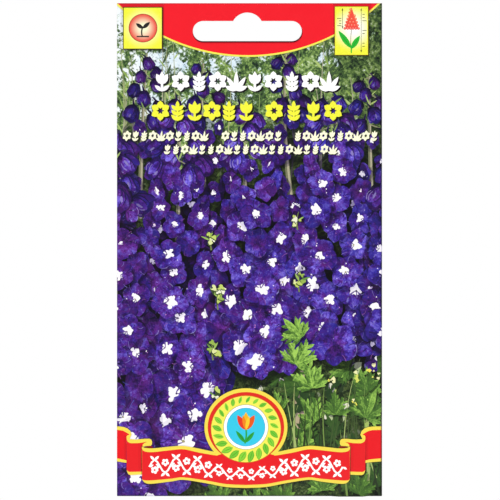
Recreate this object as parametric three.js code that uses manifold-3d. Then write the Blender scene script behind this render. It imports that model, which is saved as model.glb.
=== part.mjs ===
/*
A hanging seed packet at real size, in millimetres: one printed paper sheet folded into a flat pouch,
the glue lines that hold it shut, and the loose seeds in its bottom fold.

Frame: +Z up, +X to the right seen from the front, and the front faces -Y. The origin is the top of the
hanging slot's arch, where a display hook bears.

The sheet is wrapped round the packet once. It starts on the back under the lap seam, runs to the left
fold, across the front and round the right fold, and ends on the back over the lap seam. Below the bottom
fold both plies carry on as a flap that turns up and is glued to the back.
*/
import * as THREE from "three";
import { mergeVertices } from "three/addons/utils/BufferGeometryUtils.js";
import Module from "manifold-3d";

// Driving dimensions
const packet = { width: 80, height: 149 };
const paper = 0.12; // thickness of the sheet
const gap = {
  glue: 0.1, // between glued plies
  flap: 0.1, // under the flap
  clearance: 0.01, // on each side of a glue line
};
const flapHeight = 9;
const header = { height: 30, glueHeight: 5, glueMargin: 1.5 }; // the flat part with the slot
const lap = { centre: 30, half: 4, glueHalf: 3, slack: 0.3, ramp: 1.2 }; // the seam on the back
const slot = { width: 32.9, height: 6.1, archHalf: 4.3, archHeight: 2.55, belowTop: 2.8, offset: -0.65 };
const pouch = {
  depth: 1.35, // how far each face stands out over the seeds
  halfWidth: 39.5,
  roundness: 3, // how square the cross-section is
  fullAt: 9, // height of the fullest row
  fallsOver: 24, // how quickly it thins above that
  slackShare: 0.3, // what stays of the depth in the empty middle
  closesFrom: 92,
};
const seed = { length: 2.3, radius: 0.58, wing: 0.2, sizeSpread: 0.06, firstDraw: 20 };
const heap = { counts: [16, 13, 9], pitch: 2.75, rowPitch: 2.45, firstRow: 6.6, jitter: 0.08 };

// Worked out from them. The middle plane lies between the two plies of the header.
const plyMiddle = (gap.glue + paper) / 2;
const plyOutside = plyMiddle + paper / 2;
const lapLift = paper + gap.glue; // how far the seam's outer ply stands over the inner one
const bottomFold = 2 * plyOutside + lapLift + gap.flap / 2; // height of the bottom fold's centre
const sideEdge = packet.width / 2 - plyOutside; // where the side folds start to turn
const headerBottom = packet.height - header.height;
const hangHeight = packet.height - slot.belowTop;
const lapStart = lap.centre - lap.half;
const lapEnd = lap.centre + lap.half;

const clamp = THREE.MathUtils.clamp;
const ramp = (from, to, at) => THREE.MathUtils.smoothstep(at, from, to);
const spread = (from, to, steps) =>
  Array.from({ length: steps + 1 }, (_, i) => from + ((to - from) * i) / steps);
const joined = (...lists) => [...new Set(lists.flat())];

// How far the back stands out at x because of the seam.
function lifted(x) {
  const start = lapStart - lap.slack;
  const end = lapEnd + lap.slack;
  return lapLift * ramp(start - lap.ramp, start, x) * (1 - ramp(end, end + lap.ramp, x));
}

// How far each face bulges at x and height v above the bottom edge.
function bulge(x, v) {
  const across = Math.max(0, 1 - (Math.abs(x) / pouch.halfWidth) ** pouch.roundness);
  const above = Math.max(0, v - pouch.fullAt) / pouch.fallsOver;
  const share = pouch.slackShare + (1 - pouch.slackShare) * Math.exp(-above * above);
  const open = ramp(bottomFold, pouch.fullAt, v) * (1 - ramp(pouch.closesFrom, headerBottom, v));
  return pouch.depth * across * share * open;
}

// Rows of the sheet: down the packet, round the bottom fold and up the flap.
const flapRows = spread(bottomFold, flapHeight, 5);
const mainRows = joined(
  flapRows,
  spread(flapHeight, 45, 5),
  spread(45, pouch.closesFrom, 3),
  spread(pouch.closesFrom, headerBottom, 4),
  packet.height,
);
const FOLD_STEPS = 6;
const rows = [
  ...mainRows.map((v) => ({ on: "main", v })).reverse(),
  ...spread(0, Math.PI, FOLD_STEPS).slice(1, -1).map((turn) => ({ on: "fold", turn })),
  ...flapRows.map((v) => ({ on: "flap", v })),
];

// Stations round the sheet: x, the depth d of the ply's middle, its outward normal, and the face it
// bulges with.
const columns = joined(
  spread(-sideEdge, lapStart - lap.slack - lap.ramp, 9),
  spread(lapStart - lap.slack - lap.ramp, lapStart - lap.slack, 2),
  [lapStart, lap.centre - lap.glueHalf, lap.centre + lap.glueHalf, lapEnd],
  spread(lapEnd + lap.slack, lapEnd + lap.slack + lap.ramp, 2),
  sideEdge,
);
const frontPly = columns.map((x) => ({ x, d: -plyMiddle, out: [0, -1], face: -1 }));
const backPly = (from, to, depth) =>
  columns
    .filter((x) => x >= from && x <= to)
    .map((x) => ({ x, d: depth(x), out: [0, 1], face: 1 }))
    .reverse();
const sideFold = (side) =>
  spread(-Math.PI / 2, Math.PI / 2, 4).slice(1, -1).map((angle) => ({
    x: side * (sideEdge + plyMiddle * Math.cos(angle)),
    d: side * plyMiddle * Math.sin(angle),
    out: [side * Math.cos(angle), side * Math.sin(angle)],
    face: 0,
  }));
const stations = [
  ...backPly(-sideEdge, lapEnd, () => plyMiddle),
  ...sideFold(-1),
  ...frontPly,
  ...sideFold(1),
  ...backPly(lapStart, sideEdge, (x) => plyMiddle + lifted(x)),
];

// The point at x and depth d on a row. The fold carries the ply behind the back, where its order is
// reversed.
function place(x, d, row, face) {
  const foldDepth = plyOutside + lifted(x) + gap.flap / 2;
  if (row.on === "fold") {
    const radius = foldDepth - d;
    return [x, foldDepth - radius * Math.cos(row.turn), bottomFold - radius * Math.sin(row.turn)];
  }
  if (row.on === "flap") return [x, 2 * foldDepth - d + bulge(x, row.v), row.v];
  return [x, d + face * bulge(x, row.v), row.v];
}

// A closed skin of across by along points. at(i, j, side) is a point of its outer face (side 1) or inner
// face (side -1). From the row turnedFrom on, its squares are split along their other diagonal.
function skinGeometry(across, along, at, turnedFrom = Infinity) {
  const positions = [];
  for (const side of [1, -1])
    for (let j = 0; j < along; j++)
      for (let i = 0; i < across; i++) positions.push(...at(i, j, side));
  const index = [];
  const square = (a, b, c, d) => index.push(a, b, c, a, c, d);
  const inRow = (j, a, b, c, d) => (j < turnedFrom ? square(a, b, c, d) : square(b, c, d, a));
  const outer = (i, j) => j * across + i;
  const inner = (i, j) => across * along + outer(i, j);
  for (let j = 0; j + 1 < along; j++)
    for (let i = 0; i + 1 < across; i++) {
      inRow(j, outer(i, j), outer(i, j + 1), outer(i + 1, j + 1), outer(i + 1, j));
      inRow(j, inner(i, j), inner(i + 1, j), inner(i + 1, j + 1), inner(i, j + 1));
    }
  const [right, low] = [across - 1, along - 1];
  for (let i = 0; i < right; i++) {
    square(outer(i, 0), outer(i + 1, 0), inner(i + 1, 0), inner(i, 0));
    square(outer(i, low), inner(i, low), inner(i + 1, low), outer(i + 1, low));
  }
  for (let j = 0; j < low; j++) {
    square(outer(0, j), inner(0, j), inner(0, j + 1), outer(0, j + 1));
    square(outer(right, j), outer(right, j + 1), inner(right, j + 1), inner(right, j));
  }
  const geometry = new THREE.BufferGeometry();
  geometry.setAttribute("position", new THREE.Float32BufferAttribute(positions, 3));
  geometry.setIndex(index);
  return geometry;
}

const wasm = await Module();
wasm.setup();

function solidOf(geometry) {
  const bare = geometry.clone();
  bare.deleteAttribute("normal");
  bare.deleteAttribute("uv");
  const merged = mergeVertices(bare);
  return new wasm.Manifold(
    new wasm.Mesh({
      numProp: 3,
      vertProperties: new Float32Array(merged.attributes.position.array),
      triVerts: new Uint32Array(merged.index.array),
    }),
  );
}

function geometryOf(solid) {
  const mesh = solid.getMesh();
  const geometry = new THREE.BufferGeometry();
  geometry.setAttribute("position", new THREE.BufferAttribute(mesh.vertProperties, 3));
  geometry.setIndex(new THREE.BufferAttribute(mesh.triVerts, 1));
  return geometry;
}

// The hanging slot goes through both plies: round ends, and an arch in the middle of its upper edge.
function slotCutter() {
  const depth = 4;
  const end = slot.height / 2;
  const reach = slot.width / 2 - end;
  const top = -slot.archHeight;
  const middle = top - end;
  const archRadius = (slot.archHalf ** 2 + slot.archHeight ** 2) / (2 * slot.archHeight);
  const archAngle = Math.asin(1 - slot.archHeight / archRadius);
  const outline = new THREE.Shape();
  outline.moveTo(-reach, middle - end);
  outline.lineTo(reach, middle - end);
  outline.absarc(reach, middle, end, -Math.PI / 2, Math.PI / 2, false);
  outline.lineTo(slot.archHalf, top);
  outline.absarc(0, -archRadius, archRadius, archAngle, Math.PI - archAngle, false);
  outline.lineTo(-reach, top);
  outline.absarc(-reach, middle, end, Math.PI / 2, 1.5 * Math.PI, false);
  const cutter = new THREE.ExtrudeGeometry(outline, { depth, bevelEnabled: false, curveSegments: 10 });
  return cutter.rotateX(Math.PI / 2).translate(slot.offset, depth / 2, hangHeight);
}

function sheetGeometry() {
  const at = (i, j, side) => {
    const { x, d, out, face } = stations[i];
    const half = (side * paper) / 2;
    return place(x + out[0] * half, d + out[1] * half, rows[j], face);
  };
  const flapStart = rows.findIndex((row) => row.on === "flap");
  const folded = skinGeometry(stations.length, rows.length, at, flapStart);
  return geometryOf(solidOf(folded).subtract(solidOf(slotCutter())));
}

// A glue line between the plies: base(x, v) is the face it lies on, and the space over that is filled.
function glueGeometry(xs, heights, space, base) {
  const at = (i, j, side) => {
    const x = xs[xs.length - 1 - i];
    const v = heights[heights.length - 1 - j];
    return [x, base(x, v) + (side > 0 ? space - gap.clearance : gap.clearance), v];
  };
  return skinGeometry(xs.length, heights.length, at);
}

function lapGlue() {
  const xs = [lap.centre - lap.glueHalf, lap.centre + lap.glueHalf];
  const heights = [
    ...mainRows.filter((v) => v > flapRows[0] && v < packet.height),
    packet.height - header.glueMargin,
  ];
  return glueGeometry(xs, heights, gap.glue, (x, v) => plyOutside + bulge(x, v));
}

function flapGlue() {
  const xs = columns.filter((x) => Math.abs(x) < sideEdge);
  const base = (x, v) => plyOutside + lifted(x) + bulge(x, v);
  return glueGeometry(xs, flapRows.slice(1, -1), gap.flap, base);
}

function mouthGlue(from, to) {
  const reach = sideEdge - header.glueMargin;
  return glueGeometry([-reach, reach], [from, to], gap.glue, () => -gap.glue / 2);
}

// A seeded draw, so that the seeds lie the same way each time.
let drawState = seed.firstDraw;
function draw(low, high) {
  drawState = (drawState * 1664525 + 1013904223) % 4294967296;
  return low + ((high - low) * drawState) / 4294967296;
}

// One seed: three-sided with a ridge along each corner, and blunter at its lower end.
function seedGeometry(size) {
  const geometry = new THREE.SphereGeometry(1, 9, 5);
  geometry.deleteAttribute("normal");
  geometry.deleteAttribute("uv");
  const at = geometry.getAttribute("position");
  for (let i = 0; i < at.count; i++) {
    const along = clamp(at.getY(i), -1, 1);
    const across = Math.hypot(at.getX(i), at.getZ(i));
    const angle = Math.atan2(at.getZ(i), at.getX(i));
    const girth = across < 1e-6 ? 0 : seed.radius * size * across ** 0.8 * (1 - 0.22 * along);
    const r = girth * (1 + seed.wing * Math.cos(3 * angle));
    at.setXYZ(i, (along * seed.length * size) / 2, r * Math.sin(angle), r * Math.cos(angle));
  }
  return mergeVertices(geometry);
}

const materials = {
  printed: new THREE.MeshStandardMaterial({ color: 0x4a35a0, roughness: 0.35, metalness: 0 }),
  glue: new THREE.MeshStandardMaterial({ color: 0xe9e2cf, roughness: 0.5, metalness: 0 }),
  seed: new THREE.MeshStandardMaterial({ color: 0x2a1f1a, roughness: 0.85, metalness: 0 }),
};

const part = new THREE.Group();
part.position.set(-slot.offset, 0, -hangHeight);

function add(name, geometry, material) {
  const mesh = new THREE.Mesh(geometry, material);
  mesh.name = name;
  part.add(mesh);
  return mesh;
}

add("printed_sheet", sheetGeometry(), materials.printed);
add("lap_seam_glue", lapGlue(), materials.glue);
add("bottom_flap_glue", flapGlue(), materials.glue);

const lowerGlue = headerBottom + header.glueMargin;
add("mouth_glue_lower", mouthGlue(lowerGlue, lowerGlue + header.glueHeight), materials.glue);
const upperGlue = hangHeight + header.glueMargin / 3;
add("mouth_glue_upper", mouthGlue(upperGlue, packet.height - header.glueMargin / 3), materials.glue);

// The seeds lie in the bottom fold, one deep between the faces, in rows that get shorter upwards.
heap.counts.forEach((count, level) => {
  for (let i = 0; i < count; i++) {
    const size = 1 + draw(-seed.sizeSpread, seed.sizeSpread);
    const name = `seed_${level + 1}_${String(i + 1).padStart(2, "0")}`;
    const mesh = add(name, seedGeometry(size), materials.seed);
    const x = (i - (count - 1) / 2) * heap.pitch + draw(-heap.jitter, heap.jitter);
    const v = heap.firstRow + level * heap.rowPitch + draw(-heap.jitter, heap.jitter);
    mesh.position.set(x, 0, v);
    mesh.rotation.set(0, draw(0, 2 * Math.PI), 0);
  }
});

export default part;
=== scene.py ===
import random
from functools import partialmethod
from math import asin, atan2, ceil, cos, degrees, hypot, pi, radians, sin, tau

import bpy
import numpy as np
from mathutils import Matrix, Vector
from mathutils.bvhtree import BVHTree
from mathutils.geometry import delaunay_2d_cdt


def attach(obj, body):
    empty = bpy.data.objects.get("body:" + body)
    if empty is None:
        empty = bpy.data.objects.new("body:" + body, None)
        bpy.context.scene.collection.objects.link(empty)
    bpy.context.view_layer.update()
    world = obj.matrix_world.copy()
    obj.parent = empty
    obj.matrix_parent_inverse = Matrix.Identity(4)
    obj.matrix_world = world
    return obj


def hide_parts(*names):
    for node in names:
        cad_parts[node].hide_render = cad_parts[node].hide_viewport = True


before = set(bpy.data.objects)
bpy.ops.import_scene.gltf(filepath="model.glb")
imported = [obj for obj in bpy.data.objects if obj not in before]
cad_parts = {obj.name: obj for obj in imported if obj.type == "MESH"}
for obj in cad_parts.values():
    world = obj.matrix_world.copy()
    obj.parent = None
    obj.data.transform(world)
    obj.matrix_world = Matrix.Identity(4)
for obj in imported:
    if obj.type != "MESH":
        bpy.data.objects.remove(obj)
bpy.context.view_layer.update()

# Driving dimensions, in millimetres, as in the CAD model. x runs across the packet from its middle, v up
# from its bottom edge, and the front faces -Y.
MM = 0.001
WIDTH, HEIGHT = 80, 149
PAPER = 0.12
GLUE_GAP = FLAP_GAP = 0.1
FLAP = 9
HEADER = 30
LAP_AT, LAP_HALF, LAP_SLACK, LAP_RAMP = 30, 4, 0.3, 1.2
SLOT_LONG, SLOT_TALL, ARCH_HALF, ARCH_TALL, SLOT_DOWN, SLOT_X = 32.9, 6.1, 4.3, 2.55, 2.8, -0.65
DEPTH, POUCH_HALF, ROUNDNESS, SLACK = 1.35, 39.5, 3, 0.3
FULL_AT, FALLS_OVER, CLOSES_AT = 9, 24, 92

PLY = (GLUE_GAP + PAPER) / 2  # from the middle plane to the middle of a ply
PLY_OUT = PLY + PAPER / 2
LAP_LIFT = PAPER + GLUE_GAP
FOLD_AT = 2 * PLY_OUT + LAP_LIFT + FLAP_GAP / 2  # height of the bottom fold's centre
SIDE = WIDTH / 2 - PLY_OUT  # where the side folds start to turn
SIDE_ARC = pi * PLY  # length of paper in a side fold
EDGE = SIDE + SIDE_ARC / 2  # the middle of a side fold, where the front ends
FOLD_ARC = 1.2  # length of paper in the bottom fold
FRONT_LOW = FOLD_AT - FOLD_ARC  # where the front ends in the bottom fold
HANG = HEIGHT - SLOT_DOWN
LAP_FROM, LAP_TO = LAP_AT - LAP_HALF, LAP_AT + LAP_HALF
BACK = 2 * SIDE + SIDE_ARC  # from the front's middle to the back's middle, along the sheet
STEP = 2.6  # no edge of the sheet's mesh is much longer than this

# The loose paper ripples in full between the heights LOOSE_FROM and LOOSE_TO, and not at all above
# LOOSE_END. Behind, the ripple fades between LOOSE_X and the seam.
LOOSE_FROM, LOOSE_TO, LOOSE_END, LOOSE_X = 24, 100, 116, 12
DENT, CREASE = 0.16, 0.04


# ---------------------------------------------------------------- the folded sheet

def ramp(low, high, at):
    t = np.clip((at - low) / (high - low), 0, 1)
    return t * t * (3 - 2 * t)


def lifted(x):
    low, high = LAP_FROM - LAP_SLACK, LAP_TO + LAP_SLACK
    return LAP_LIFT * ramp(low - LAP_RAMP, low, x) * (1 - ramp(high, high + LAP_RAMP, x))


def bulge(x, v):
    across = np.maximum(0, 1 - (np.abs(x) / POUCH_HALF) ** ROUNDNESS)
    above = np.maximum(0, v - FULL_AT) / FALLS_OVER
    share = SLACK + (1 - SLACK) * np.exp(-above * above)
    is_open = ramp(FOLD_AT, FULL_AT, v) * (1 - ramp(CLOSES_AT, HEIGHT - HEADER, v))
    return DEPTH * across * share * is_open


def ripple(x, v, face):
    """How far the loose paper stands out over the pouch's even shape: shallow dents and creases."""
    calm = ramp(LOOSE_X, LAP_FROM - LAP_SLACK - LAP_RAMP - 2, x)
    window = np.maximum(0, 1 - (np.abs(x) / POUCH_HALF) ** 4) * ramp(FULL_AT, LOOSE_FROM, v)
    window = window * (1 - ramp(LOOSE_TO, LOOSE_END, v)) * np.where(face > 0, 1 - calm, 1)
    dents = np.sin(x * 0.16 + v * 0.045 + face) * np.sin(v * 0.075 - x * 0.05 + 2 * face)
    creases = np.sin(x * 0.31 - v * 0.11 + 3 * face) ** 2
    return window * (DENT * (dents + 1) / 2 + CREASE * creases)


def folded(s, t, side):
    """The packet's point at s and t of the flat sheet, on its outer (1) or inner (-1) face, in metres."""
    s, t = np.asarray(s, float), np.asarray(t, float)
    sign = np.where(s < 0, -1, 1)
    past = np.abs(s) - SIDE
    turn = np.clip(past / PLY, 0, pi) - pi / 2
    on_fold = (past > 0) & (past < SIDE_ARC)
    behind = past >= SIDE_ARC
    x = np.where(on_fold, sign * (SIDE + PLY * np.cos(turn)), sign * (SIDE + SIDE_ARC - past))
    x = np.where(past <= 0, s, x)
    lift = np.where(sign > 0, lifted(x), 0)
    d = np.where(on_fold, PLY * np.sin(turn), np.where(behind, PLY + lift, -PLY))
    face = np.where(on_fold, 0, np.where(behind, 1, -1))
    x = x + np.where(on_fold, sign * np.cos(turn), 0) * side * PAPER / 2
    d = d + np.where(on_fold, np.sin(turn), face) * side * PAPER / 2

    fold_depth = PLY_OUT + lifted(x) + FLAP_GAP / 2
    curl = np.clip((FOLD_AT - t) / FOLD_ARC, 0, 1) * pi
    radius = fold_depth - d
    v = np.where(t >= FOLD_AT, t, np.where(curl < pi, FOLD_AT, 2 * FOLD_AT - FOLD_ARC - t))
    stands_out = face * (bulge(x, v) + ripple(x, v, face))
    y = np.where(t >= FOLD_AT, d + stands_out, fold_depth - radius * np.cos(curl))
    y = np.where(curl >= pi, y + bulge(x, v), y)
    z = np.where((t < FOLD_AT) & (curl < pi), FOLD_AT - radius * np.sin(curl), v)
    return np.stack([x - SLOT_X, y, z - HANG], -1) * MM


def back_at(x, over):
    """Where x on the back lies on the flat sheet, over the lap or under it."""
    return BACK - x if over else -(BACK + x)


SHEET_FROM, SHEET_TO = back_at(LAP_TO, False), back_at(LAP_FROM, True)
SHEET_LOW = 2 * FOLD_AT - FOLD_ARC - FLAP


# ---------------------------------------------------------------- flat shapes

def rotation(angle):
    return np.array([(cos(angle), -sin(angle)), (sin(angle), cos(angle))])


def turned(points, angle):
    """Points turned anticlockwise about (0, 0)."""
    return np.asarray(points, float) @ rotation(-angle)


def pair(x, v):
    return np.stack([x, v], -1)


def moved(points, x, v):
    return np.asarray(points, float) + (x, v)


def polar(far, angle):
    return far * cos(angle), far * sin(angle)


def arc(x, v, radius, start, end, steps, radius_v=None):
    a = np.radians(np.linspace(start, end, steps + 1))
    return pair(x + radius * np.cos(a), v + (radius_v or radius) * np.sin(a))


def disc(x, v, radius, steps=48, radius_v=None):
    return arc(x, v, radius, 0, 360, steps, radius_v)[:-1]


def box(x0, v0, x1, v1):
    return np.array([(x0, v0), (x1, v0), (x1, v1), (x0, v1)], float)


def two_sided(half, v):
    """An outline with these half widths at the heights v, pointed at both ends."""
    return np.concatenate([pair(half, v), pair(-half, v)[::-1][1:-1]])


def lengths(vectors):
    """Each vector's length, and never 0."""
    return np.maximum(np.linalg.norm(vectors, axis=-1, keepdims=True), 1e-12)


def stroke(points, width, tail=None):
    """The outline of a line along points, whose width goes from width to tail."""
    p = np.asarray(points, float)
    d = np.gradient(p, axis=0)
    n = pair(-d[:, 1], d[:, 0]) / lengths(d)
    w = np.linspace(width, width if tail is None else tail, len(p))[:, None] / 2
    return np.concatenate([p + n * w, (p - n * w)[::-1]])


def bow(a, b, sag, steps=10):
    """Points on a curve from a to b that stands out to the left by sag."""
    a, b = np.asarray(a, float), np.asarray(b, float)
    t = np.linspace(0, 1, steps + 1)[:, None]
    side = np.array([a[1] - b[1], b[0] - a[0]]) / max(np.linalg.norm(b - a), 1e-9)
    return a + (b - a) * t + side * sag * 4 * t * (1 - t)


def smooth(points, steps=6):
    """A smooth line through points."""
    p = np.asarray(points, float)
    p = np.vstack([2 * p[0] - p[1], p, 2 * p[-1] - p[-2]])
    t = np.linspace(0, 1, steps, endpoint=False)[:, None]
    parts = [0.5 * (2 * b + (c - a) * t + (2 * a - 5 * b + 4 * c - d) * t ** 2
                    + (3 * b - 3 * c + d - a) * t ** 3) for a, b, c, d in zip(p, p[1:], p[2:], p[3:])]
    return np.vstack([*parts, p[-2]])


def blade(x, v, length, width, angle, steps=4):
    """A pointed leaf from (x, v). Its angle is measured in degrees anticlockwise from upright."""
    t = np.linspace(0, 1, steps + 1)
    half = width / 2 * np.sin(pi * t ** 0.9) ** 0.8
    half[-1] = 0
    return moved(turned(two_sided(half, t * length), radians(angle)), x, v)


def grown(outline, by):
    """An outline moved outwards."""
    p = np.asarray(outline, float)
    along = np.roll(p, -1, axis=0) - np.roll(p, 1, axis=0)
    turn = np.sign(np.dot(p[:, 0], np.roll(p[:, 1], -1)) - np.dot(p[:, 1], np.roll(p[:, 0], -1)))
    return p + pair(along[:, 1], -along[:, 0]) * turn / lengths(along) * by


def radial(x, v, radius=1):
    """Takes a sheet point to coordinates that are 0 at (x, v) and 1 a radius from it."""
    return Frame(None, (x, v), np.eye(2) * radius).local()


HOLE, SHADE = "hole", "shade"


class Art:
    """Flat shapes on the unfolded sheet, painted in order: a later one covers those before it."""

    def __init__(self):
        self.outlines, self.looks = [], []

    def add(self, outline, material, ink=(1, 1, 1), local=None, seed=0):
        """ink is a colour, or the light and the hue of a petal or a leaf. local is the 2 by 3 matrix that
        takes a sheet point to the shape's own coordinates."""
        outline = np.asarray(outline, float)
        x, v = outline.T
        anticlockwise = np.dot(x, np.roll(v, -1)) > np.dot(v, np.roll(x, -1))
        self.outlines.append(outline if anticlockwise else outline[::-1])
        self.looks.append((material, ink, local, seed))

    def paint(self, outline, ink):
        self.add(outline, "inks", ink)

    def shade(self, outline, factor):
        self.add(outline, SHADE, factor)


class Frame:
    """A shape's own coordinates on the sheet: an origin, and a matrix whose columns are the unit steps."""

    def __init__(self, art, origin, matrix):
        self.art, self.origin, self.matrix = art, np.asarray(origin, float), matrix

    @classmethod
    def at(cls, art, x, v, size, angle=0, squash=1, lean=0):
        """A frame whose second axis points up, turned, then narrowed across a line that leans."""
        tilt = rotation(lean)
        return cls(art, (x, v), tilt @ np.diag([squash, 1]) @ tilt.T @ rotation(angle) * size)

    def to_sheet(self, points):
        return np.asarray(points, float) @ self.matrix.T + self.origin

    def inner(self, x, v, size=1, angle=0):
        return Frame(self.art, self.to_sheet([(x, v)])[0], self.matrix @ (rotation(angle) * size))

    def local(self):
        inverse = np.linalg.inv(self.matrix)
        return np.column_stack([inverse, -inverse @ self.origin])

    def paint(self, points, ink):
        self.art.paint(self.to_sheet(points), ink)

    def shadow(self, points, x, v, factor):
        """A shadow of points, moved on the sheet by x and v."""
        self.art.shade(moved(self.to_sheet(points), x, v), factor)

    def grow(self, points, light, hue, seed, own=None, material="petal"):
        """A petal or a leaf, whose streaks lie in its own frame."""
        self.art.add(self.to_sheet(points), material, (light, hue), (own or self).local(), seed)


# ---------------------------------------------------------------- the sheet cut along the shapes

WELD = 1e-4  # points nearer than this are one
STRAIGHT = 0.0012  # a point this near the line through its neighbours is left out


def covered(outline, x, v):
    """Which of the points lie in an outline."""
    inside = np.zeros(np.broadcast(x, v).shape, bool)
    for (x0, v0), (x1, v1) in zip(outline, np.roll(outline, -1, axis=0)):
        if v0 != v1:
            inside ^= ((v0 > v) != (v1 > v)) & (x < (x1 - x0) * (v - v0) / (v1 - v0) + x0)
    return inside


def prune(art, cell=0.35, least=3):
    """Drops the shapes that later ones hide, all but a few cells."""
    xs = np.arange(SHEET_FROM, SHEET_TO, cell)
    vs = np.arange(SHEET_LOW, HEIGHT, cell)
    taken = np.zeros((len(vs), len(xs)), bool)
    kept = []
    for outline, look in zip(art.outlines[::-1], art.looks[::-1]):
        (x0, v0), (x1, v1) = outline.min(0), outline.max(0)
        columns = slice(*np.searchsorted(xs, (x0, x1)))
        rows = slice(*np.searchsorted(vs, (v0, v1)))
        inside = covered(outline, xs[columns][None, :], vs[rows][:, None])
        free = inside & ~taken[rows, columns]
        is_small = inside.sum() < 2 * least
        if free.sum() >= least or is_small and free.any():
            kept.append((outline, look))
            if look[0] != SHADE:
                taken[rows, columns] |= inside
    art.outlines, art.looks = map(list, zip(*kept[::-1]))


def cut_sheet(clip, outlines, lines, points):
    """The sheet cut along every outline: its vertices, its triangles and the outlines over each."""
    verts, faces, edges = [], [], []
    for outline in (clip, *outlines):
        faces.append(list(range(len(verts), len(verts) + len(outline))))
        verts.extend(Vector(p) for p in outline)
    for a, b in lines:
        edges.append((len(verts), len(verts) + 1))
        verts.extend((Vector(a), Vector(b)))
    verts.extend(Vector(p) for p in points)
    found = delaunay_2d_cdt(verts, edges, faces, 0, WELD, True)
    return np.array([v[:] for v in found[0]]), np.array(found[2]), found[5]


def top_look(art, over):
    """The shape that shows where several lie over each other, and how far the ones above it darken it."""
    shade = 1
    for index in sorted(over, reverse=True)[:-1]:
        material, factor = art.looks[index - 1][:2]
        if material == HOLE:
            return None
        if material != SHADE:
            return index - 1, shade
        shade *= factor
    return -1, shade


def sides(triangles):
    return np.concatenate([triangles[:, [0, 1]], triangles[:, [1, 2]], triangles[:, [2, 0]]])


def borders(flat, triangles, labels):
    """The lines between areas of unlike labels, without the points that lie along a straight stretch."""
    edges = np.sort(sides(triangles), axis=1)
    keys, which, count = np.unique(edges @ (len(flat), 1), return_inverse=True, return_counts=True)
    low, high = np.full(len(keys), len(labels)), np.full(len(keys), -1)
    np.minimum.at(low, which, np.tile(labels, 3))
    np.maximum.at(high, which, np.tile(labels, 3))
    kept = keys[(count == 1) | (low != high)]
    near = {}
    for a, b in zip((kept // len(flat)).tolist(), (kept % len(flat)).tolist()):
        near.setdefault(a, set()).add(b)
        near.setdefault(b, set()).add(a)
    for v in [v for v in near if len(near[v]) == 2]:
        a, b = near[v]
        (ax, ay), (bx, by), (x, y) = flat[a], flat[b], flat[v]
        off_line = abs((bx - ax) * (y - ay) - (by - ay) * (x - ax))
        if b in near[a] or off_line > STRAIGHT * hypot(bx - ax, by - ay):
            continue
        for end, other in ((a, b), (b, a)):
            near[end].discard(v)
            near[end].add(other)
        near[v] = set()
    return [(a, b) for a, others in near.items() for b in others if a < b]


def flatten(art, clip, lines, points):
    """The flat sheet's vertices and triangles, and each triangle's top shape and shade."""
    flat, triangles, over = cut_sheet(clip, art.outlines, [], [])
    numbers, labels = {}, np.empty(len(triangles), int)
    for k, shapes in enumerate(over):
        look = top_look(art, shapes) if 0 in shapes else None
        labels[k] = numbers.setdefault(look, len(numbers))
    looks = list(numbers)
    tree = BVHTree.FromPolygons([(x, v, 0) for x, v in flat.tolist()], triangles.tolist())
    pieces = []
    for a, b in borders(flat, triangles, labels):
        count = max(1, ceil(np.linalg.norm(flat[b] - flat[a]) / STEP))
        ends = [tuple(flat[a] + (flat[b] - flat[a]) * k / count) for k in range(count + 1)]
        pieces += zip(ends, ends[1:])
    flat, triangles, _ = cut_sheet(clip, [], pieces + lines, points)
    centres = flat[triangles].mean(1)
    owners = [looks[labels[tree.find_nearest((x, v, 0))[2]]] for x, v in centres.tolist()]
    inside = np.array([look is not None for look in owners])
    shown, shades = zip(*(look for look in owners if look is not None))
    return flat, triangles[inside], shown, shades


# ---------------------------------------------------------------- the picture: flower spikes over a garden

rng = random.Random(7)
between, pick, chance = rng.uniform, rng.choice, rng.random

PETAL_WIDE, EYE_SIZE = 0.5, 0.34  # a petal's half width and an eye's size, where a petal is 1 long
GOLDEN_ANGLE = 2.39996
HALF_OPEN_FROM, BUDS_FROM = 0.72, 0.8  # shares of a spike's height
EYE_WHITE = (0.9, 0.87, 0.9)
CLEFT = (0.012, 0.006, 0.06)


def jitter(by):
    return between(-by, by)


def dim(ink, light):
    return tuple(c * light for c in ink)


def petal_half(v):
    return PETAL_WIDE * np.sin(pi * np.clip(v, 0, 1) ** 1.15) ** 0.7


def petal_outline(steps, ruffle):
    """A rounded petal from its foot at (0, 0) to its tip at (0, 1), with a waved edge."""
    v = 0.5 - 0.5 * np.cos(np.linspace(0, pi, steps + 1))
    points = two_sided(petal_half(v), v)
    round_it = np.linspace(0, tau, len(points), endpoint=False)
    waves = sum(np.sin(round_it * k + between(0, tau)) / k for k in (2, 3, 5))
    centre = np.array([0, 0.5])
    return centre + (points - centre) * (1 + ruffle * waves)[:, None]


def ragged_ring(lobes, points, deep, rough):
    """A ring of points about (0, 0), near 1 from it, with that many lobes and an uneven edge."""
    turn = between(0, tau)
    angles = [tau * k / points for k in range(points)]
    return np.array([polar(1 - deep + deep * cos(lobes * (a - turn)) + jitter(rough), a) for a in angles])


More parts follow.
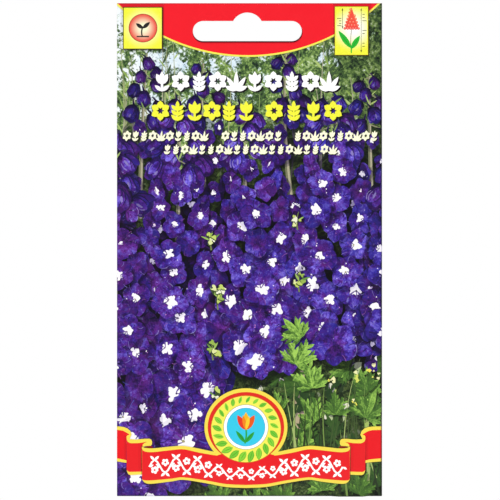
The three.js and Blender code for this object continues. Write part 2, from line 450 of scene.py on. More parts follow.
def eye(base, size):
    """A white eye: small frilled lobes round a ragged middle, some missing, with dark notches and specks."""
    full, lobes, turn = between(0, tau), pick([5, 6, 6, 7]), between(0, tau)
    for _ in range(6):
        angle, far = full + jitter(2.2), size * between(1.1, 2.3)
        speck = ragged_ring(2, 5, 0.2, 0.2) * between(0.02, 0.05)
        base.paint(moved(speck, *polar(far, angle)),
                   pick([EYE_WHITE, (0.55, 0.48, 0.8), (0.42, 0.16, 0.46), (0.02, 0.01, 0.1)]))
    middle = ragged_ring(3, 14, 0.1, 0.15) * (size * 0.82, size * 0.72)
    base.paint(moved(middle, *polar(0.12 * size, full)), EYE_WHITE)
    for k in range(lobes):
        angle = turn + tau * k / lobes + jitter(0.3)
        heavy = 1 + 0.28 * cos(angle - full)
        if chance() < 0.28 - 0.2 * cos(angle - full):
            continue
        far, wide = size * between(0.58, 0.8) * heavy, size * between(0.26, 0.36) * heavy
        ring = turned(ragged_ring(3, 9, 0.12, 0.16) * (wide * between(0.8, 1.25), wide), angle)
        base.paint(moved(ring, *polar(far, angle)), EYE_WHITE)
    for k in range(3):
        angle = full + pi + (k - 1) * between(0.5, 1.1)
        near, far = size * between(0.05, 0.35), size * between(0.8, 1.2)
        base.paint(stroke([polar(near, angle), polar(far, angle)], 0.03, 0.1),
                   pick([(0.05, 0.02, 0.2), (0.12, 0.07, 0.3)]))
    mouth = ragged_ring(2, 6, 0.15, 0.15) * size * between(0.14, 0.22)
    base.paint(moved(mouth, *polar(-0.15 * size, full)),
               pick([(0.2, 0.15, 0.26), (0.34, 0.32, 0.16), (0.06, 0.04, 0.12)]))


def fleck(base, size):
    """What shows of a white eye that is seen from the side."""
    angle = between(0, tau)
    for k in range(2):
        ring = ragged_ring(2, 9, 0.2, 0.2) * (size * between(0.16, 0.3), size * between(0.5, 0.8))
        base.paint(moved(turned(ring, angle + 0.5 * k), 0.16 * size * k, 0.3 * size * k),
                   pick([EYE_WHITE, (0.62, 0.5, 0.74), (0.8, 0.64, 0.8)]))


def streaks(base, light, count, near, far):
    """Fine lines that run outwards on petals: dark clefts, and lit ridges of lilac, blue or pink."""
    for k in range(count):
        angle = tau * (k + between(0, 0.9)) / count
        inner, outer = between(near, near + 0.2), between(far - 0.25, far)
        turns = (inner, angle), (outer, angle + jitter(0.2))
        ends = [(r * sin(turn), r * cos(turn)) for r, turn in turns]
        line = bow(*ends, jitter(0.06), 3)
        if k % 2:
            tone, wide = pick([CLEFT, (0.02, 0.008, 0.09)]), between(0.04, 0.075)
        else:
            tone, wide = pick([(0.19, 0.14, 0.46), (0.08, 0.09, 0.42), (0.22, 0.07, 0.3)]), 0.035
        base.paint(stroke(line, 0.02, wide), dim(tone, light))


def floret(art, x, v, size, squash, lean, light, hue, eye_size):
    """Five petals, three smaller ones over them, and an eye, all over a soft shadow."""
    base = Frame.at(art, x, v, size, between(0, tau), squash, lean)
    for spread, drop, factor in ((1.13, 0.7, 0.62), (1.02, 0.4, 0.66)):
        base.shadow(ragged_ring(5, 15, 0.05, 0.06) * spread, 0.1, -drop, factor)
    for k in (0, 2, 4, 1, 3):
        petal = base.inner(0, 0, between(0.86, 1.1), tau * k / 5 + jitter(0.2))
        petal.grow(petal_outline(8, 0.11), light * between(0.58, 1.28), hue + jitter(0.1), chance())
    streaks(base, light, pick([6, 8, 10]), 0.5, 0.98)
    if eye_size > 0:
        for k in range(3):
            petal = base.inner(0, 0, between(0.5, 0.7), tau * k / 3 + jitter(0.5))
            petal.grow(petal_outline(6, 0.12), light * between(0.72, 1.25), hue + jitter(0.15), chance())
        streaks(base, light, 4, 0.35, 0.65)
        eye(base, eye_size * between(0.8, 1.1))
    elif chance() < 0.45:
        fleck(base.inner(jitter(0.3), jitter(0.3)), between(0.2, 0.36))


def bud(art, x, v, size, angle, light, hue):
    """A closed bud with its spur: a dark lobed body, petals folded over it with lit rims and dark clefts."""
    base = Frame.at(art, x, v, size, angle)
    own = 2 + chance()
    base.grow(stroke([(0, 0.3), (0.05, -0.25), (0.22, -0.62)], 0.26, 0.08), light * 0.7, hue, own)
    base.shadow(disc(0, 0.42, 0.6, 14, 0.7), 0.15, -0.35, 0.66)
    body = moved(ragged_ring(5, 20, 0.05, 0.05) * (0.6, 0.72), 0, 0.42)
    base.grow(body, light * 0.42, hue, own, base.inner(0, -0.2, 1.25))
    for side, turn, tone in ((-0.3, -0.42, 0.7), (0.3, 0.42, 0.85), (-0.1, -0.12, 1), (0.12, 0.2, 1.25)):
        side += jitter(0.06)
        ring = moved(turned(ragged_ring(2, 13, 0.1, 0.08) * (0.22, 0.48), -turn), side, 0.46 + jitter(0.08))
        base.paint(moved(ring, -0.05, -0.03), dim(CLEFT, light))
        base.grow(ring, light * tone, hue + jitter(0.15), own, base.inner(side, -0.05, 1, -turn))
        if chance() < 0.7:
            rim = bow((side + 0.13, 0.8), (side + 0.19, 0.34), between(0.04, 0.1), 4)
            base.paint(stroke(rim, 0.05, 0.02), dim((0.26, 0.2, 0.5), light))
    ring = moved(ragged_ring(2, 7, 0.2, 0.1) * (0.08, 0.2), jitter(0.2), 0.5 + between(-0.1, 0.2))
    base.paint(ring, dim((0.24, 0.19, 0.5), light))


def half_open(art, x, v, size, angle, light, hue):
    """A flower seen from the side: ruffled petals folded forward, lit rims, dark clefts and a spur behind."""
    base = Frame.at(art, x, v, size, angle, between(0.75, 1), jitter(1))
    base.shadow(disc(0, 0.5, 0.66, 14, 0.7), 0.15, -0.4, 0.66)
    base.grow(stroke([(0, 0.35), (0.08, -0.25), (0.3, -0.7)], 0.3, 0.08), light * 0.75, hue, 2 + chance())
    for turn, scale, tone in ((0.85, 0.8, 0.5), (-0.8, 0.8, 0.6), (0.4, 0.95, 0.8), (-0.45, 0.95, 0.9),
                              (0.05, 0.8, 1.1)):
        petal = base.inner(jitter(0.12), between(-0.1, 0.15), scale * between(0.85, 1.1), turn + jitter(0.2))
        outline = petal_outline(7, 0.17)
        art.paint(moved(petal.to_sheet(outline), -0.14, -0.18), dim(CLEFT, light))
        petal.grow(outline, light * tone, hue + jitter(0.2), 2 + chance())
        streaks(petal.inner(0, 0.1), light * tone, 2, 0.25, 0.8)
        if chance() < 0.6:
            rim = stroke([(-0.22, 0.86), (0, 0.95), (0.2, 0.9)], 0.05, 0.02)
            petal.paint(rim, dim((0.3, 0.23, 0.58), light))
    if chance() < 0.3:
        fleck(base.inner(jitter(0.2), 0.8), 0.26)


def spike_reach(half, h):
    """How far the florets stand out from the stem at that share of a spike's height."""
    return half * (1 - h ** 2.2 * 0.8)


def gloom(art, foot, along, half):
    """The darkness between a spike's florets: overlapping dim patches down its length."""
    for h in np.linspace(0, 0.74, 13):
        x, v = foot + along * h
        a = np.linspace(0, tau, 15)[:-1]
        ragged = np.array([between(0.75, 1.15) for _ in a])
        reach = (spike_reach(half, h) + 1.5) * ragged
        art.shade(pair(x + reach * np.cos(a), v + 7.5 * ragged * np.sin(a)), 0.4)


def spike(art, foot, tip, half, big, small, light, count):
    """A flower spike from foot to tip: florets set round a stem by the golden angle, with buds at the top."""
    foot, tip = np.array(foot, float), np.array(tip, float)
    along = tip - foot
    sway = jitter(1.4)
    gloom(art, foot, along, half)
    stem = bow(foot + along * 0.5, tip, sway, 12)
    art.paint(stroke(stem, 1.6, 0.6), (0.17, 0.17, 0.1))
    art.paint(moved(stroke(stem, 0.7, 0.25), 0.22, 0), (0.4, 0.37, 0.25))
    items = []
    for i in range(count):
        h = (i + 0.5) / count
        phi = i * GOLDEN_ANGLE + jitter(0.25)
        depth = cos(phi)
        if depth >= -0.3:
            out = spike_reach(half, h) * sin(phi) + sway * 4 * h * (1 - h)
            items.append((depth + jitter(0.15), h, out, phi))
    for depth, h, out, phi in sorted(items):
        x, v = foot + along * h + np.array([out, -abs(out) * 0.15])
        size = (big + (small - big) * h ** 1.1) * between(0.9, 1.1)
        front = max(0, depth)
        tone = light * (0.62 + 0.38 * front ** 0.7)
        hue = 0.45 + 0.3 * sin(phi * 0.5) + jitter(0.2)
        if h > BUDS_FROM:
            root = foot + along * (h + 0.015)
            art.paint(stroke(bow(root, (x, v), jitter(0.4), 4), 0.4, 0.28), (0.24, 0.24, 0.14))
            for side in (-1, 1):
                art.paint(blade(*root, between(2, 3.6), between(0.35, 0.6), side * between(20, 65), 3),
                          pick([(0.2, 0.3, 0.08), (0.34, 0.45, 0.14), (0.1, 0.16, 0.05)]))
            bud(art, x, v, size * 1.55, pi + atan2(out, 5) + jitter(0.4), tone * 1.1, hue)
        elif chance() < (0.2 if h > HALF_OPEN_FROM else 0.08 if depth < 0.25 else 0):
            half_open(art, x, v, size * 1.1, pi + atan2(out, 4) + jitter(0.5), tone * 1.1, hue)
        else:
            squash = 0.58 + 0.4 * front - 0.15 * (h > HALF_OPEN_FROM)
            seen = depth > 0.42 and chance() < 0.95 - 0.4 * h
            floret(art, x, v, size, squash, -0.25 * sin(phi), tone, hue, seen * EYE_SIZE * (1.06 - 0.1 * h))


# A leaf's lobes: turn and scale. A lobe's teeth: foot, turn in degrees, length and width.
LOBES = ((1.35, 0.66), (-1.35, 0.66), (0.68, 0.9), (-0.68, 0.9), (0, 1))
TEETH = ((0.62, 30, 0.34, 0.13), (0.62, -30, 0.34, 0.13), (0.34, 36, 0.46, 0.17), (0.34, -36, 0.46, 0.17),
         (0, 0, 1, 0.3))


def leaf(art, x, v, size, angle, light, squash, shadow):
    """A leaf cut into five lobes that fan out from its stalk, each with pointed teeth at its sides."""
    base = Frame.at(art, x, v, size, angle, squash)
    hue = chance()
    drawn = []
    for turn, scale in LOBES:
        lobe = base.inner(0, 0, scale * between(0.9, 1.08), turn + jitter(0.1))
        for root, lean, length, wide in TEETH:
            drawn.append((lobe, blade(0, root, length * between(0.85, 1.15), wide, lean + jitter(6), 5)))
    for lobe, tooth in drawn[4::5]:
        lobe.shadow(tooth, 0.4, -0.6, shadow)
    for lobe, tooth in drawn:
        lobe.grow(tooth, light * between(0.82, 1.12), hue, chance(), material="leaf")


def sprays(art):
    """Thin stems with narrow leaves among the flower tips."""
    for _ in range(26):
        x = pick([between(-40, -22), between(-20, 4), between(8, 36)])
        foot, tip = np.array([x, between(92, 108)]), np.array([x + jitter(2.5), between(122, 141)])
        stem = bow(foot, tip, jitter(1.2), 8)
        tone = pick([(0.33, 0.36, 0.18), (0.4, 0.38, 0.27), (0.22, 0.32, 0.1)])
        art.paint(stroke(stem, between(0.4, 0.7), 0.12), tone)
        for k in range(7):
            side = 1 if k % 2 else -1
            art.paint(blade(*stem[k + 1], between(2.2, 4.6), between(0.4, 0.9), side * between(18, 60), 4),
                      pick([(0.24, 0.36, 0.08), (0.38, 0.5, 0.16), (0.12, 0.2, 0.06), (0.05, 0.09, 0.035)]))


def pods(art, x, v, size):
    """Young yellow-green pods and torn bits of leaf crowded on a stalk, with darkness round them."""
    art.shade(moved(ragged_ring(3, 12, 0.2, 0.15) * (size * 1.1, size * 1.4), x, v), 0.3)
    art.paint(stroke(bow((x, v - size * 1.6), (x + 0.3, v + size), 0.4, 4), 0.5, 0.2), (0.16, 0.2, 0.06))
    for side in (-1, 1):
        art.paint(blade(x, v - 0.3 * size, size * between(1, 1.6), size * 0.25, side * between(25, 80), 5),
                  pick([(0.14, 0.28, 0.05), (0.3, 0.46, 0.1)]))
    for _ in range(pick([5, 6, 7])):
        at = x + jitter(0.6) * size, v + jitter(0.8) * size
        wide = size * between(0.24, 0.46)
        ring = turned(ragged_ring(3, 11, 0.22, 0.28) * (wide, wide * between(0.8, 1.5)), jitter(0.8))
        art.paint(moved(ring * 1.15, at[0] - 0.15, at[1] - 0.2), (0.04, 0.07, 0.02))
        art.paint(moved(ring, *at), pick([(0.5, 0.6, 0.14), (0.7, 0.74, 0.34), (0.3, 0.44, 0.08),
                                          (0.82, 0.82, 0.62)]))


def undergrowth(art):
    """A stake, leaves, stems and grass, low on the right, with light between them."""
    for left, right, tone in ((13.2, 16.6, (0.42, 0.35, 0.22)), (13.2, 13.8, (0.17, 0.13, 0.08)),
                              (15, 15.3, (0.3, 0.24, 0.15))):
        art.paint(box(left, 6, right, 47), tone)
    for _ in range(56):
        x, v = between(3, 41), between(8, 44)
        ring = ragged_ring(3, 9, 0.2, 0.3) * (between(0.5, 1.7), between(0.8, 2.8))
        art.paint(moved(ring, x, v), pick([(0.42, 0.5, 0.26), (0.34, 0.46, 0.1), (0.12, 0.22, 0.05),
                                           (0.66, 0.66, 0.5), (0.02, 0.04, 0.015)]))
    for _ in range(26):
        leaf(art, between(0, 41), between(2, 42), between(5, 9), jitter(1.9), between(0.12, 0.45),
             between(0.6, 1), 0.45)
    for _ in range(11):
        leaf(art, between(8, 40), between(8, 40), between(6, 9.5), jitter(1.5), between(0.5, 0.85),
             between(0.65, 1), 0.45)
    for _ in range(54):
        x, v = between(2, 41), between(-4, 14)
        tip = x + jitter(5), v + between(14, 32)
        art.paint(stroke(bow((x, v), tip, jitter(2), 6), between(0.3, 0.9), 0.1),
                  pick([(0.02, 0.03, 0.012), (0.02, 0.035, 0.014), (0.05, 0.09, 0.025), (0.16, 0.26, 0.06),
                        (0.34, 0.44, 0.14)]))
    for _ in range(9):
        x, v = between(18, 39), between(24, 40)
        for _ in range(4):
            ring = ragged_ring(3, 8, 0.2, 0.2) * between(0.35, 0.8)
            art.paint(moved(ring, x + jitter(1.2), v + jitter(1.4)),
                      pick([(0.78, 0.72, 0.1), (0.62, 0.66, 0.12), (0.8, 0.78, 0.4)]))


# Each spike: foot, tip, half width, floret size at the foot and at the tip, light, number of florets.
SPIKES_BEHIND = [
    ((-35, 34), (-31, 134), 8.5, 5.6, 1.9, 0.58, 78),
    ((-12, 40), (-14, 131), 8.5, 5.6, 1.9, 0.62, 74),
    ((14, 46), (11, 134), 8.5, 5.6, 1.9, 0.58, 72),
    ((38, 42), (36, 127), 9.5, 5.8, 2, 0.62, 72),
]
SPIKES = [
    ((-23, 8), (-21, 121), 12.5, 7.6, 2.7, 1, 104),
    ((2, 41), (-1, 118), 11.5, 7.4, 2.6, 1, 74),
    ((28, 46), (25, 121), 12, 7.4, 2.7, 1, 72),
]
SPIKES_BEFORE = [
    ((-39, -3), (-41, 113), 9, 7.4, 3.4, 0.9, 92),
    ((42, 50), (43, 102), 7, 6.6, 3.4, 0.85, 38),
]
# Each group of pods: place and size. Each leaf: place, size, turn and light.
PODS = [(-11.5, 78, 2.2), (-9.5, 61, 2.8), (-11, 45, 2.3), (14.5, 84, 2.1), (15, 66, 2.6), (-10, 31, 2.1)]
LEAVES = [(15.5, 48, 8, 0.9, 0.9), (14, 40, 9, -0.5, 1), (19, 33, 8.5, 0.3, 0.95), (35, 24, 8.5, -0.4, 0.8),
          (9, 26, 7.5, 0.8, 0.8), (26, 25, 7, 0.1, 0.7), (22, 2, 9, 0.2, 0.7), (33, 1, 7, -0.5, 0.6),
          (-9, -4, 9, 0.25, 0.6), (1, -5, 9, -0.2, 0.75), (10, -3, 9, 0.35, 0.55)]


def picture(art):
    art.add(box(-EDGE, SHEET_LOW, EDGE, HEIGHT), "garden", (1, 0), radial(0, 0))
    sprays(art)
    for row in SPIKES_BEHIND:
        spike(art, *row)
    undergrowth(art)
    for row in SPIKES:
        spike(art, *row)
    for row in PODS:
        pods(art, *row)
    for row in SPIKES_BEFORE:
        spike(art, *row)
    for row in LEAVES:
        leaf(art, *row, 0.9, 0.5)


# ---------------------------------------------------------------- the label over the picture

def ink(red, green, blue):
    """A printed colour, from its 0 to 255 values to the linear ones that a shader takes."""
    return tuple(((c / 255 + 0.055) / 1.055) ** 2.4 for c in (red, green, blue))


RED, RIBBON_RED = ink(236, 26, 40), ink(225, 28, 34)
TAIL_RED, DARK_RED = ink(226, 22, 31), ink(140, 14, 20)
YELLOW, GOLD, LEMON = ink(236, 231, 88), ink(237, 214, 78), ink(238, 238, 62)
WHITE, BLACK = ink(254, 254, 252), ink(20, 15, 18)
LIME, LEAF_GREEN, CYAN = ink(132, 204, 56), ink(58, 150, 40), ink(55, 196, 226)
MIDDLE, BADGE_AT = -1.07, 21.27  # x of the ribbon's middle, and v of its badge's

BLOSSOM = [blade(-0.1 * sin(radians(a)), 0.5 + 0.1 * cos(radians(a)), 0.4, 0.34, a)
           for a in range(0, 360, 60)]
TULIP = [stroke([(0, 0), (0, 0.5)], 0.12), blade(0, 0.34, 0.6, 0.3, 28), blade(0, 0.34, 0.6, 0.3, -28),
         blade(0, 0.34, 0.66, 0.28, 0), blade(0, 0.02, 0.46, 0.2, 52), blade(0, 0.02, 0.46, 0.2, -52)]
SPRIG = [stroke([(0, 0), (0, 0.7)], 0.1), blade(0, 0.58, 0.42, 0.2, 0),
         *(blade(0, v, 0.42, 0.2, angle) for v in (0.02, 0.26, 0.5) for angle in (-48, 48))]
FAN = [blade(0, 0.03, length, 0.24, angle)
       for angle, length in ((68, 0.6), (34, 0.84), (0, 0.97), (-34, 0.84), (-68, 0.6))]


def ornaments(art, motifs, places, height, colour, shadow=0, slant=0, width=1):
    """A row of small motifs, each over its own hard shadow."""
    drawn = []
    for k, place in enumerate(places):
        for outline in motifs[k % len(motifs)]:
            points = outline * (height * width, height)
            drawn.append(moved(points + points[:, 1:] * (slant, 0), *place))
    if shadow:
        for outline in drawn:
            art.paint(moved(outline, shadow, -shadow), BLACK)
    for outline in drawn:
        art.paint(outline, colour)


def spaced(x0, x1, v, count):
    return [(x, v) for x in np.linspace(x0, x1, count)]


def titles(art):
    ornaments(art, [TULIP, BLOSSOM, SPRIG, BLOSSOM, FAN], spaced(-26.4, 24, 122.4, 10), 6.1, WHITE, 0.45)
    lemon_row = spaced(-26.9, -1, 113.5, 6) + spaced(7.4, 25.2, 113.5, 4)
    ornaments(art, [BLOSSOM, SPRIG, TULIP], lemon_row, 6.1, LEMON, 0.45)
    small, cream = [BLOSSOM, TULIP, SPRIG, BLOSSOM, FAN], ink(250, 248, 214)
    upper = spaced(-37.2, -13.9, 107.4, 10) + spaced(-7.5, 8.4, 107.4, 7) + spaced(14.4, 37.4, 107.4, 10)
    ornaments(art, small, upper, 3.2, cream, 0.3, 0.14, 0.84)
    ornaments(art, small[1:], spaced(-25, 25, 103.4, 20), 3.1, cream, 0.3, 0.14, 0.84)


def arch(x, v, radius):
    """The header's lower edge, as part of a large circle."""
    return arc(x, v, radius, 225, 315, 60)


def header(art):
    centre, radius = (-0.55, 190.48), 57.15
    art.shade(arch(*centre, radius + 0.75), 0.75)
    art.paint(arch(*centre, radius + 0.55), YELLOW)
    art.paint(arch(*centre, radius), RED)


def left_box(art):
    """A yellow square with a round sprout sign."""
    art.shade(box(-38.9, 134, -25.7, HEIGHT), 0.8)
    x, v = -32.13, 141.5
    art.shade(box(-38, 134.7, -25.95, 147.7), 0.35)
    art.paint(box(-38.2, 135.05, -26.22, 147.9), ink(58, 34, 8))
    art.add(box(-37.96, 135.3, -26.47, 147.65), "glow", LEMON, radial(x, v, 7.4))
    art.paint(disc(x, v, 4.32, 40), ink(120, 40, 20))
    art.add(disc(x, v, 4.17, 40), "glow", ink(226, 52, 40), radial(x, v, 4.9))
    for outline in (stroke(bow((x - 0.2, v - 2.6), (x, v + 0.5), 0.3, 8), 0.42),
                    stroke([(x - 1.9, v - 2.55), (x + 1.8, v - 2.55)], 0.4),
                    blade(x - 0.05, v - 0.1, 2.6, 1.15, 54, 6), blade(x - 0.05, v - 0.1, 2.9, 1.15, -48, 6)):
        art.paint(outline, ink(40, 36, 36))


def ruler(art, x, low, high, side, ticks):
    """An upright measuring arrow with a head at each end, and short and long ticks to one side."""
    art.paint(stroke([(x, low), (x, high)], 0.12), BLACK)
    for tip, way in ((high, 1), (low, -1)):
        art.paint([(x - 0.25 * way, tip - 0.7 * way), (x + 0.25 * way, tip - 0.7 * way), (x, tip)], BLACK)
    for k, v in enumerate(np.linspace(low + 0.9, high - 0.9, ticks)):
        reach = 1.25 if k % 3 == 0 else 0.7
        left, right = sorted((x + side * 0.35, x + side * (0.35 + reach)))
        art.paint(box(left, v - 0.09, right, v + 0.09), BLACK)


def right_box(art):
    """A yellow box with a flower on its stem and two measuring arrows."""
    art.shade(box(25.2, 132.7, 36.8, HEIGHT), 0.8)
    art.shade(box(25.95, 133.05, 36.2, 147.95), 0.45)
    art.paint(box(25.65, 133.28, 35.88, 148.08), ink(120, 84, 10))
    art.paint(box(25.79, 133.42, 35.74, 147.95), LEMON)
    art.add(box(26, 133.65, 35.5, 147.7), "glow", LEMON, radial(31.3, 141.4, 7.9), 1)
    art.paint(stroke(bow((30.75, 133.9), (30.75, 141.2), 0.2, 8), 0.16), ink(60, 48, 20))
    green = ink(40, 180, 50)
    art.paint(stroke([(30.7, 133.9), (30.75, 136.2)], 0.3, 0.5), green)
    for v, angle, length, width in ((135.4, 36, 6.6, 1.7), (135.2, -33, 4.8, 1.6)):
        art.paint(blade(30.7, v, length, width, angle, 6), green)
        art.paint(blade(30.7, v, length * 0.9, 0.12, angle, 4), ink(20, 120, 36))
    art.paint([(30.8, 147.8), (28.75, 141.3), (32.9, 141.3)], ink(236, 78, 62))
    for level in range(7):
        half, v = 2.05 * (1 - level / 7), 141.4 + level * 0.95
        for x in np.linspace(-half, half, max(1, 6 - level)):
            art.paint(disc(30.82 + x, v, 0.44, 7), ink(234, 72 + 8 * level, 76 - 4 * level))
            art.paint(disc(30.82 + x, v + 0.1, 0.21, 5), ink(250, 160, 128))
    ruler(art, 28.05, 141.3, 147.5, -1, 7)
    ruler(art, 33.7, 134.1, 147.5, 1, 13)


# The ribbon's left half: the gold edge and the red middle of its tail, its fold and its band, the fold's dark
# opening, and the red band under the badge.
TAIL_EDGE = [(-43.78, 21.33), (-39.2, 21.32), (-38.01, 21.17), (-36.81, 20.77), (-35.91, 19.98),
             (-35.52, 18.88), (-36.16, 17.59), (-37.11, 17.79), (-37.11, 10.37), (-38.4, 10.52),
             (-43.78, 10.77)]
TAIL = [(-43.78, 20.27), (-39.3, 20.22), (-38.11, 20.03), (-36.81, 19.33), (-36.16, 18.88), (-36.71, 18.73),
        (-37.06, 18.28), (-37.11, 11.11), (-38.4, 11.41), (-43.78, 11.71)]
FOLD_EDGE = [(-37.06, 18.38), (-36.71, 18.73), (-36.16, 18.88), (-35.82, 18.53), (-36.11, 17.88),
             (-36.01, 17.54), (-34.12, 17.44), (-31.43, 17.69), (-30.24, 17.71), (-29.64, 17.49),
             (-29.34, 16.89), (-29.34, 16.09), (-29.74, 15.59), (-30.84, 15.5), (-31.73, 15.4),
             (-31.83, 14.8), (-32.2, 14.6), (-32.2, 6.88), (-35.91, 6.67), (-36.51, 6.93), (-36.86, 7.53),
             (-37.06, 8.43)]
FOLD = [(-37.06, 17.39), (-36.71, 16.74), (-36.11, 16.39), (-35.52, 16.29), (-33.33, 16.36),
        (-32.03, 16.59), (-30.94, 16.71), (-31.8, 16.29), (-32.15, 15.89), (-32.25, 15.3), (-32.25, 7.78),
        (-36.16, 7.64), (-36.71, 7.83), (-37.06, 8.28)]
OPENING = [(-31.78, 15.18), (-30.84, 15.42), (-29.54, 15.51), (-29.04, 15.2), (-29.24, 14.7),
           (-31.04, 14.7)]
BAND_TOP = [(-32.43, 15.4), (-32.03, 15.12), (-31.13, 14.9), (-28.75, 14.85), (-22.77, 15.5),
            (-19.59, 15.59), (-14.91, 14.75), (-8.93, 13.6), (-1.07, 13.01)]
BAND_LOW = [(-1.07, 2.75), (-7.24, 3.1), (-13.21, 4.29), (-19.88, 5.32), (-23.27, 4.84), (-28.75, 4.12),
            (-30.74, 4.09), (-31.73, 4.54), (-32.28, 5.24), (-32.38, 5.84)]
INNER_TOP = [(-32.38, 14.7), (-32.03, 14.12), (-30.93, 13.73), (-28.75, 13.7), (-22.77, 14.4),
             (-19.59, 14.55), (-14.91, 13.55), (-8.93, 12.61), (-1.07, 11.91)]
INNER_LOW = [(-1.07, 3.7), (-7.24, 4.04), (-13.21, 5.15), (-19.88, 6.09), (-23.27, 5.7), (-28.75, 5.16),
             (-31.13, 5.06), (-32.03, 5.2), (-32.38, 5.6)]
BADGE_TOP = [(-9.6, 12.85), (-8, 13.3), (-5, 14.4), (MIDDLE, 14.8)]
BADGE_LOW = [(MIDDLE, 8.4), (-6, 8.8), (-9.4, 9.7), (-10, 11.9)]


def mirrored(points):
    return np.asarray(points, float) * (-1, 1) + (2 * MIDDLE, 0)


def both_sides(points):
    """An outline on each side of the ribbon's middle, kept on the packet's front."""
    for side in (np.asarray(points, float), mirrored(points)[::-1]):
        yield pair(np.clip(side[:, 0], -EDGE, EDGE), side[:, 1])


def band(top, low):
    """The whole outline of a band, from its left half's upper and lower edges."""
    top, low = smooth(top, 4), smooth(low, 4)
    return np.vstack([top, mirrored(top)[::-1][1:], mirrored(low)[::-1], low[1:]])


def ribbon(art):
    for outline in (TAIL_EDGE, FOLD_EDGE):
        for side in both_sides(outline):
            art.shade(grown(side, 0.22), 0.55)
    for colour, outline in ((GOLD, TAIL_EDGE), (TAIL_RED, TAIL), (GOLD, FOLD_EDGE), (RIBBON_RED, FOLD),
                            (DARK_RED, OPENING)):
        for side in both_sides(outline):
            art.paint(side, colour)
    for strip, factor in (((-37.9, 11.3, -37.1, 18.6), 0.9), ((-37.4, 11.3, -37.1, 18.4), 0.88),
                          ((-33.5, 8, -32.4, 16.3), 0.95), ((-32.9, 8, -32.4, 15.9), 0.92)):
        for side in both_sides(box(*strip)):
            art.shade(side, factor)
    edges = band(BAND_TOP, BAND_LOW), disc(MIDDLE, BADGE_AT, 12.5, 68, 11.65)
    for outline in edges:
        art.shade(grown(outline, 0.24), 0.5)
    for outline in edges:
        art.paint(outline, GOLD)
    art.paint(band(INNER_TOP, INNER_LOW), RIBBON_RED)
    art.paint(disc(MIDDLE, BADGE_AT, 11.5, 60, 10.5), ink(216, 44, 34))
    art.paint(band(BADGE_TOP, BADGE_LOW), RIBBON_RED)


def badge(art):
    """A round badge: a ring of leaves round a tulip on a sky-blue disc."""
    x, v = MIDDLE, BADGE_AT
    art.paint(disc(x, v - 0.6, 10.6, 56, 10.1), ink(200, 112, 24))
    art.paint(disc(x, v - 0.6, 10.45, 56, 9.95), YELLOW)
    count = 22
    for k in range(count):
        turn = 360 * k / count
        out_x, out_v = polar(7.3, radians(turn + 90))
        long = 3.15 - 0.75 * sin(radians(turn + 90))
        for share, width, steps, colour in ((1, 0.48 * long, 6, LEAF_GREEN),
                                            (0.96, 0.4 * long, 6, LIME if k % 2 else ink(112, 192, 52)),
                                            (0.86, 0.16, 4, LEAF_GREEN)):
            art.paint(blade(x + out_x, v + out_v, share * long, width, turn - 34, steps), colour)
    for radius, steps, colour in ((6.78, 44, ink(150, 140, 120)), (6.63, 44, WHITE),
                                  (5.8, 40, ink(60, 150, 205)), (5.66, 40, CYAN)):
        art.paint(disc(x, v, radius, steps), colour)
    green = ink(46, 160, 60)
    art.paint(stroke(smooth([(x - 0.3, v - 4.9), (x + 0.1, v - 2.5), (x, v + 0.6)]), 0.5), green)
    for angle, length in ((38, 4.6), (-40, 4.3)):
        art.paint(blade(x - 0.2, v - 4.7, length, 1.25, angle, 6), green)
        art.paint(blade(x - 0.2, v - 4.5, length * 0.9, 0.16, angle, 4), ink(24, 110, 40))
    for angle, length, width, colour in ((30, 5.2, 2, ink(220, 56, 32)), (-30, 5.2, 2, ink(226, 88, 28)),
                                         (0, 5.4, 2, ink(240, 178, 30)), (12, 4.6, 1.1, ink(232, 130, 30)),
                                         (-13, 4.4, 1.1, ink(242, 200, 48))):
        art.paint(blade(x, v - 0.9, length, width, angle, 6), colour)


def garland(art):
    """A white scroll with leaves and small flowers along the ribbon."""
    left = [(-30.2, 9.2), (-26, 9.5), (-20, 10.05), (-13, 9), (-7, 7.6)]
    middle = smooth([*left, (MIDDLE, 7.15), *mirrored(left)[::-1]])
    waves = 9
    x = np.linspace(middle[0, 0], middle[-1, 0], waves * 8 + 1)
    swell = np.interp(np.abs(x - MIDDLE), (0, 9, 13), (1.15, 1.35, 2))
    v = np.interp(x, *middle.T) + swell * np.sin(np.linspace(0, waves * tau, len(x)))
    stem = pair(x, v)
    art.paint(stroke(stem, 0.55), WHITE)
    for k in range(waves * 2):
        x, v = stem[k * 4 + 2]
        up = 1 if k % 2 == 0 else -1
        size = 0.85 if abs(x - MIDDLE) < 11 else 1.15
        hollow = np.interp(x, *middle.T) - up * 0.9 * size
        for petal in range(5):
            out_x, out_v = polar(0.62 * size, tau * petal / 5 + k)
            art.paint(disc(x + out_x, hollow + out_v, 0.42 * size, 7), WHITE)
        away = 0 if up > 0 else 180
        for place, length, width, lean in ((2, 1.55, 0.72, 48), (2, 1.55, 0.72, -48), (4, 1.3, 0.6, 62),
                                           (0, 1.3, 0.6, -62)):
            art.paint(blade(*stem[k * 4 + place], length * size, width * size, away + lean, 4), WHITE)


# Strips of painted shade along the right and bottom folds, standing in for a thin shadow there, and a darker
# strip along the top cut edge: left, lower and upper side, and how much light they leave.
EDGE_SHADE_STRIPS = [(EDGE - 0.34, FRONT_LOW, HEIGHT, 0.42), (EDGE - 0.6, FRONT_LOW, HEIGHT, 0.85),
        (-EDGE, FRONT_LOW, 0.45, 0.4), (-EDGE, FRONT_LOW, 0.8, 0.85), (-EDGE, HEIGHT - 0.25, HEIGHT, 0.72)]


def worn_edges(art):
    """Painted shade along the folds and cut edges: on the right, at the bottom, along the top, and a painted
    shadow under the slot.
    """
    for left, low, high, factor in EDGE_SHADE_STRIPS:
        art.shade(box(left, low, EDGE, high), factor)
    slot = slot_outline()
    # a painted shadow along the slot's lower edge, dark just under it and fainter further down
    art.shade(moved(grown(slot, 0.1), 0.08, -0.32), 0.15)
    art.shade(moved(grown(slot, 0.15), 0.12, -0.6), 0.8)


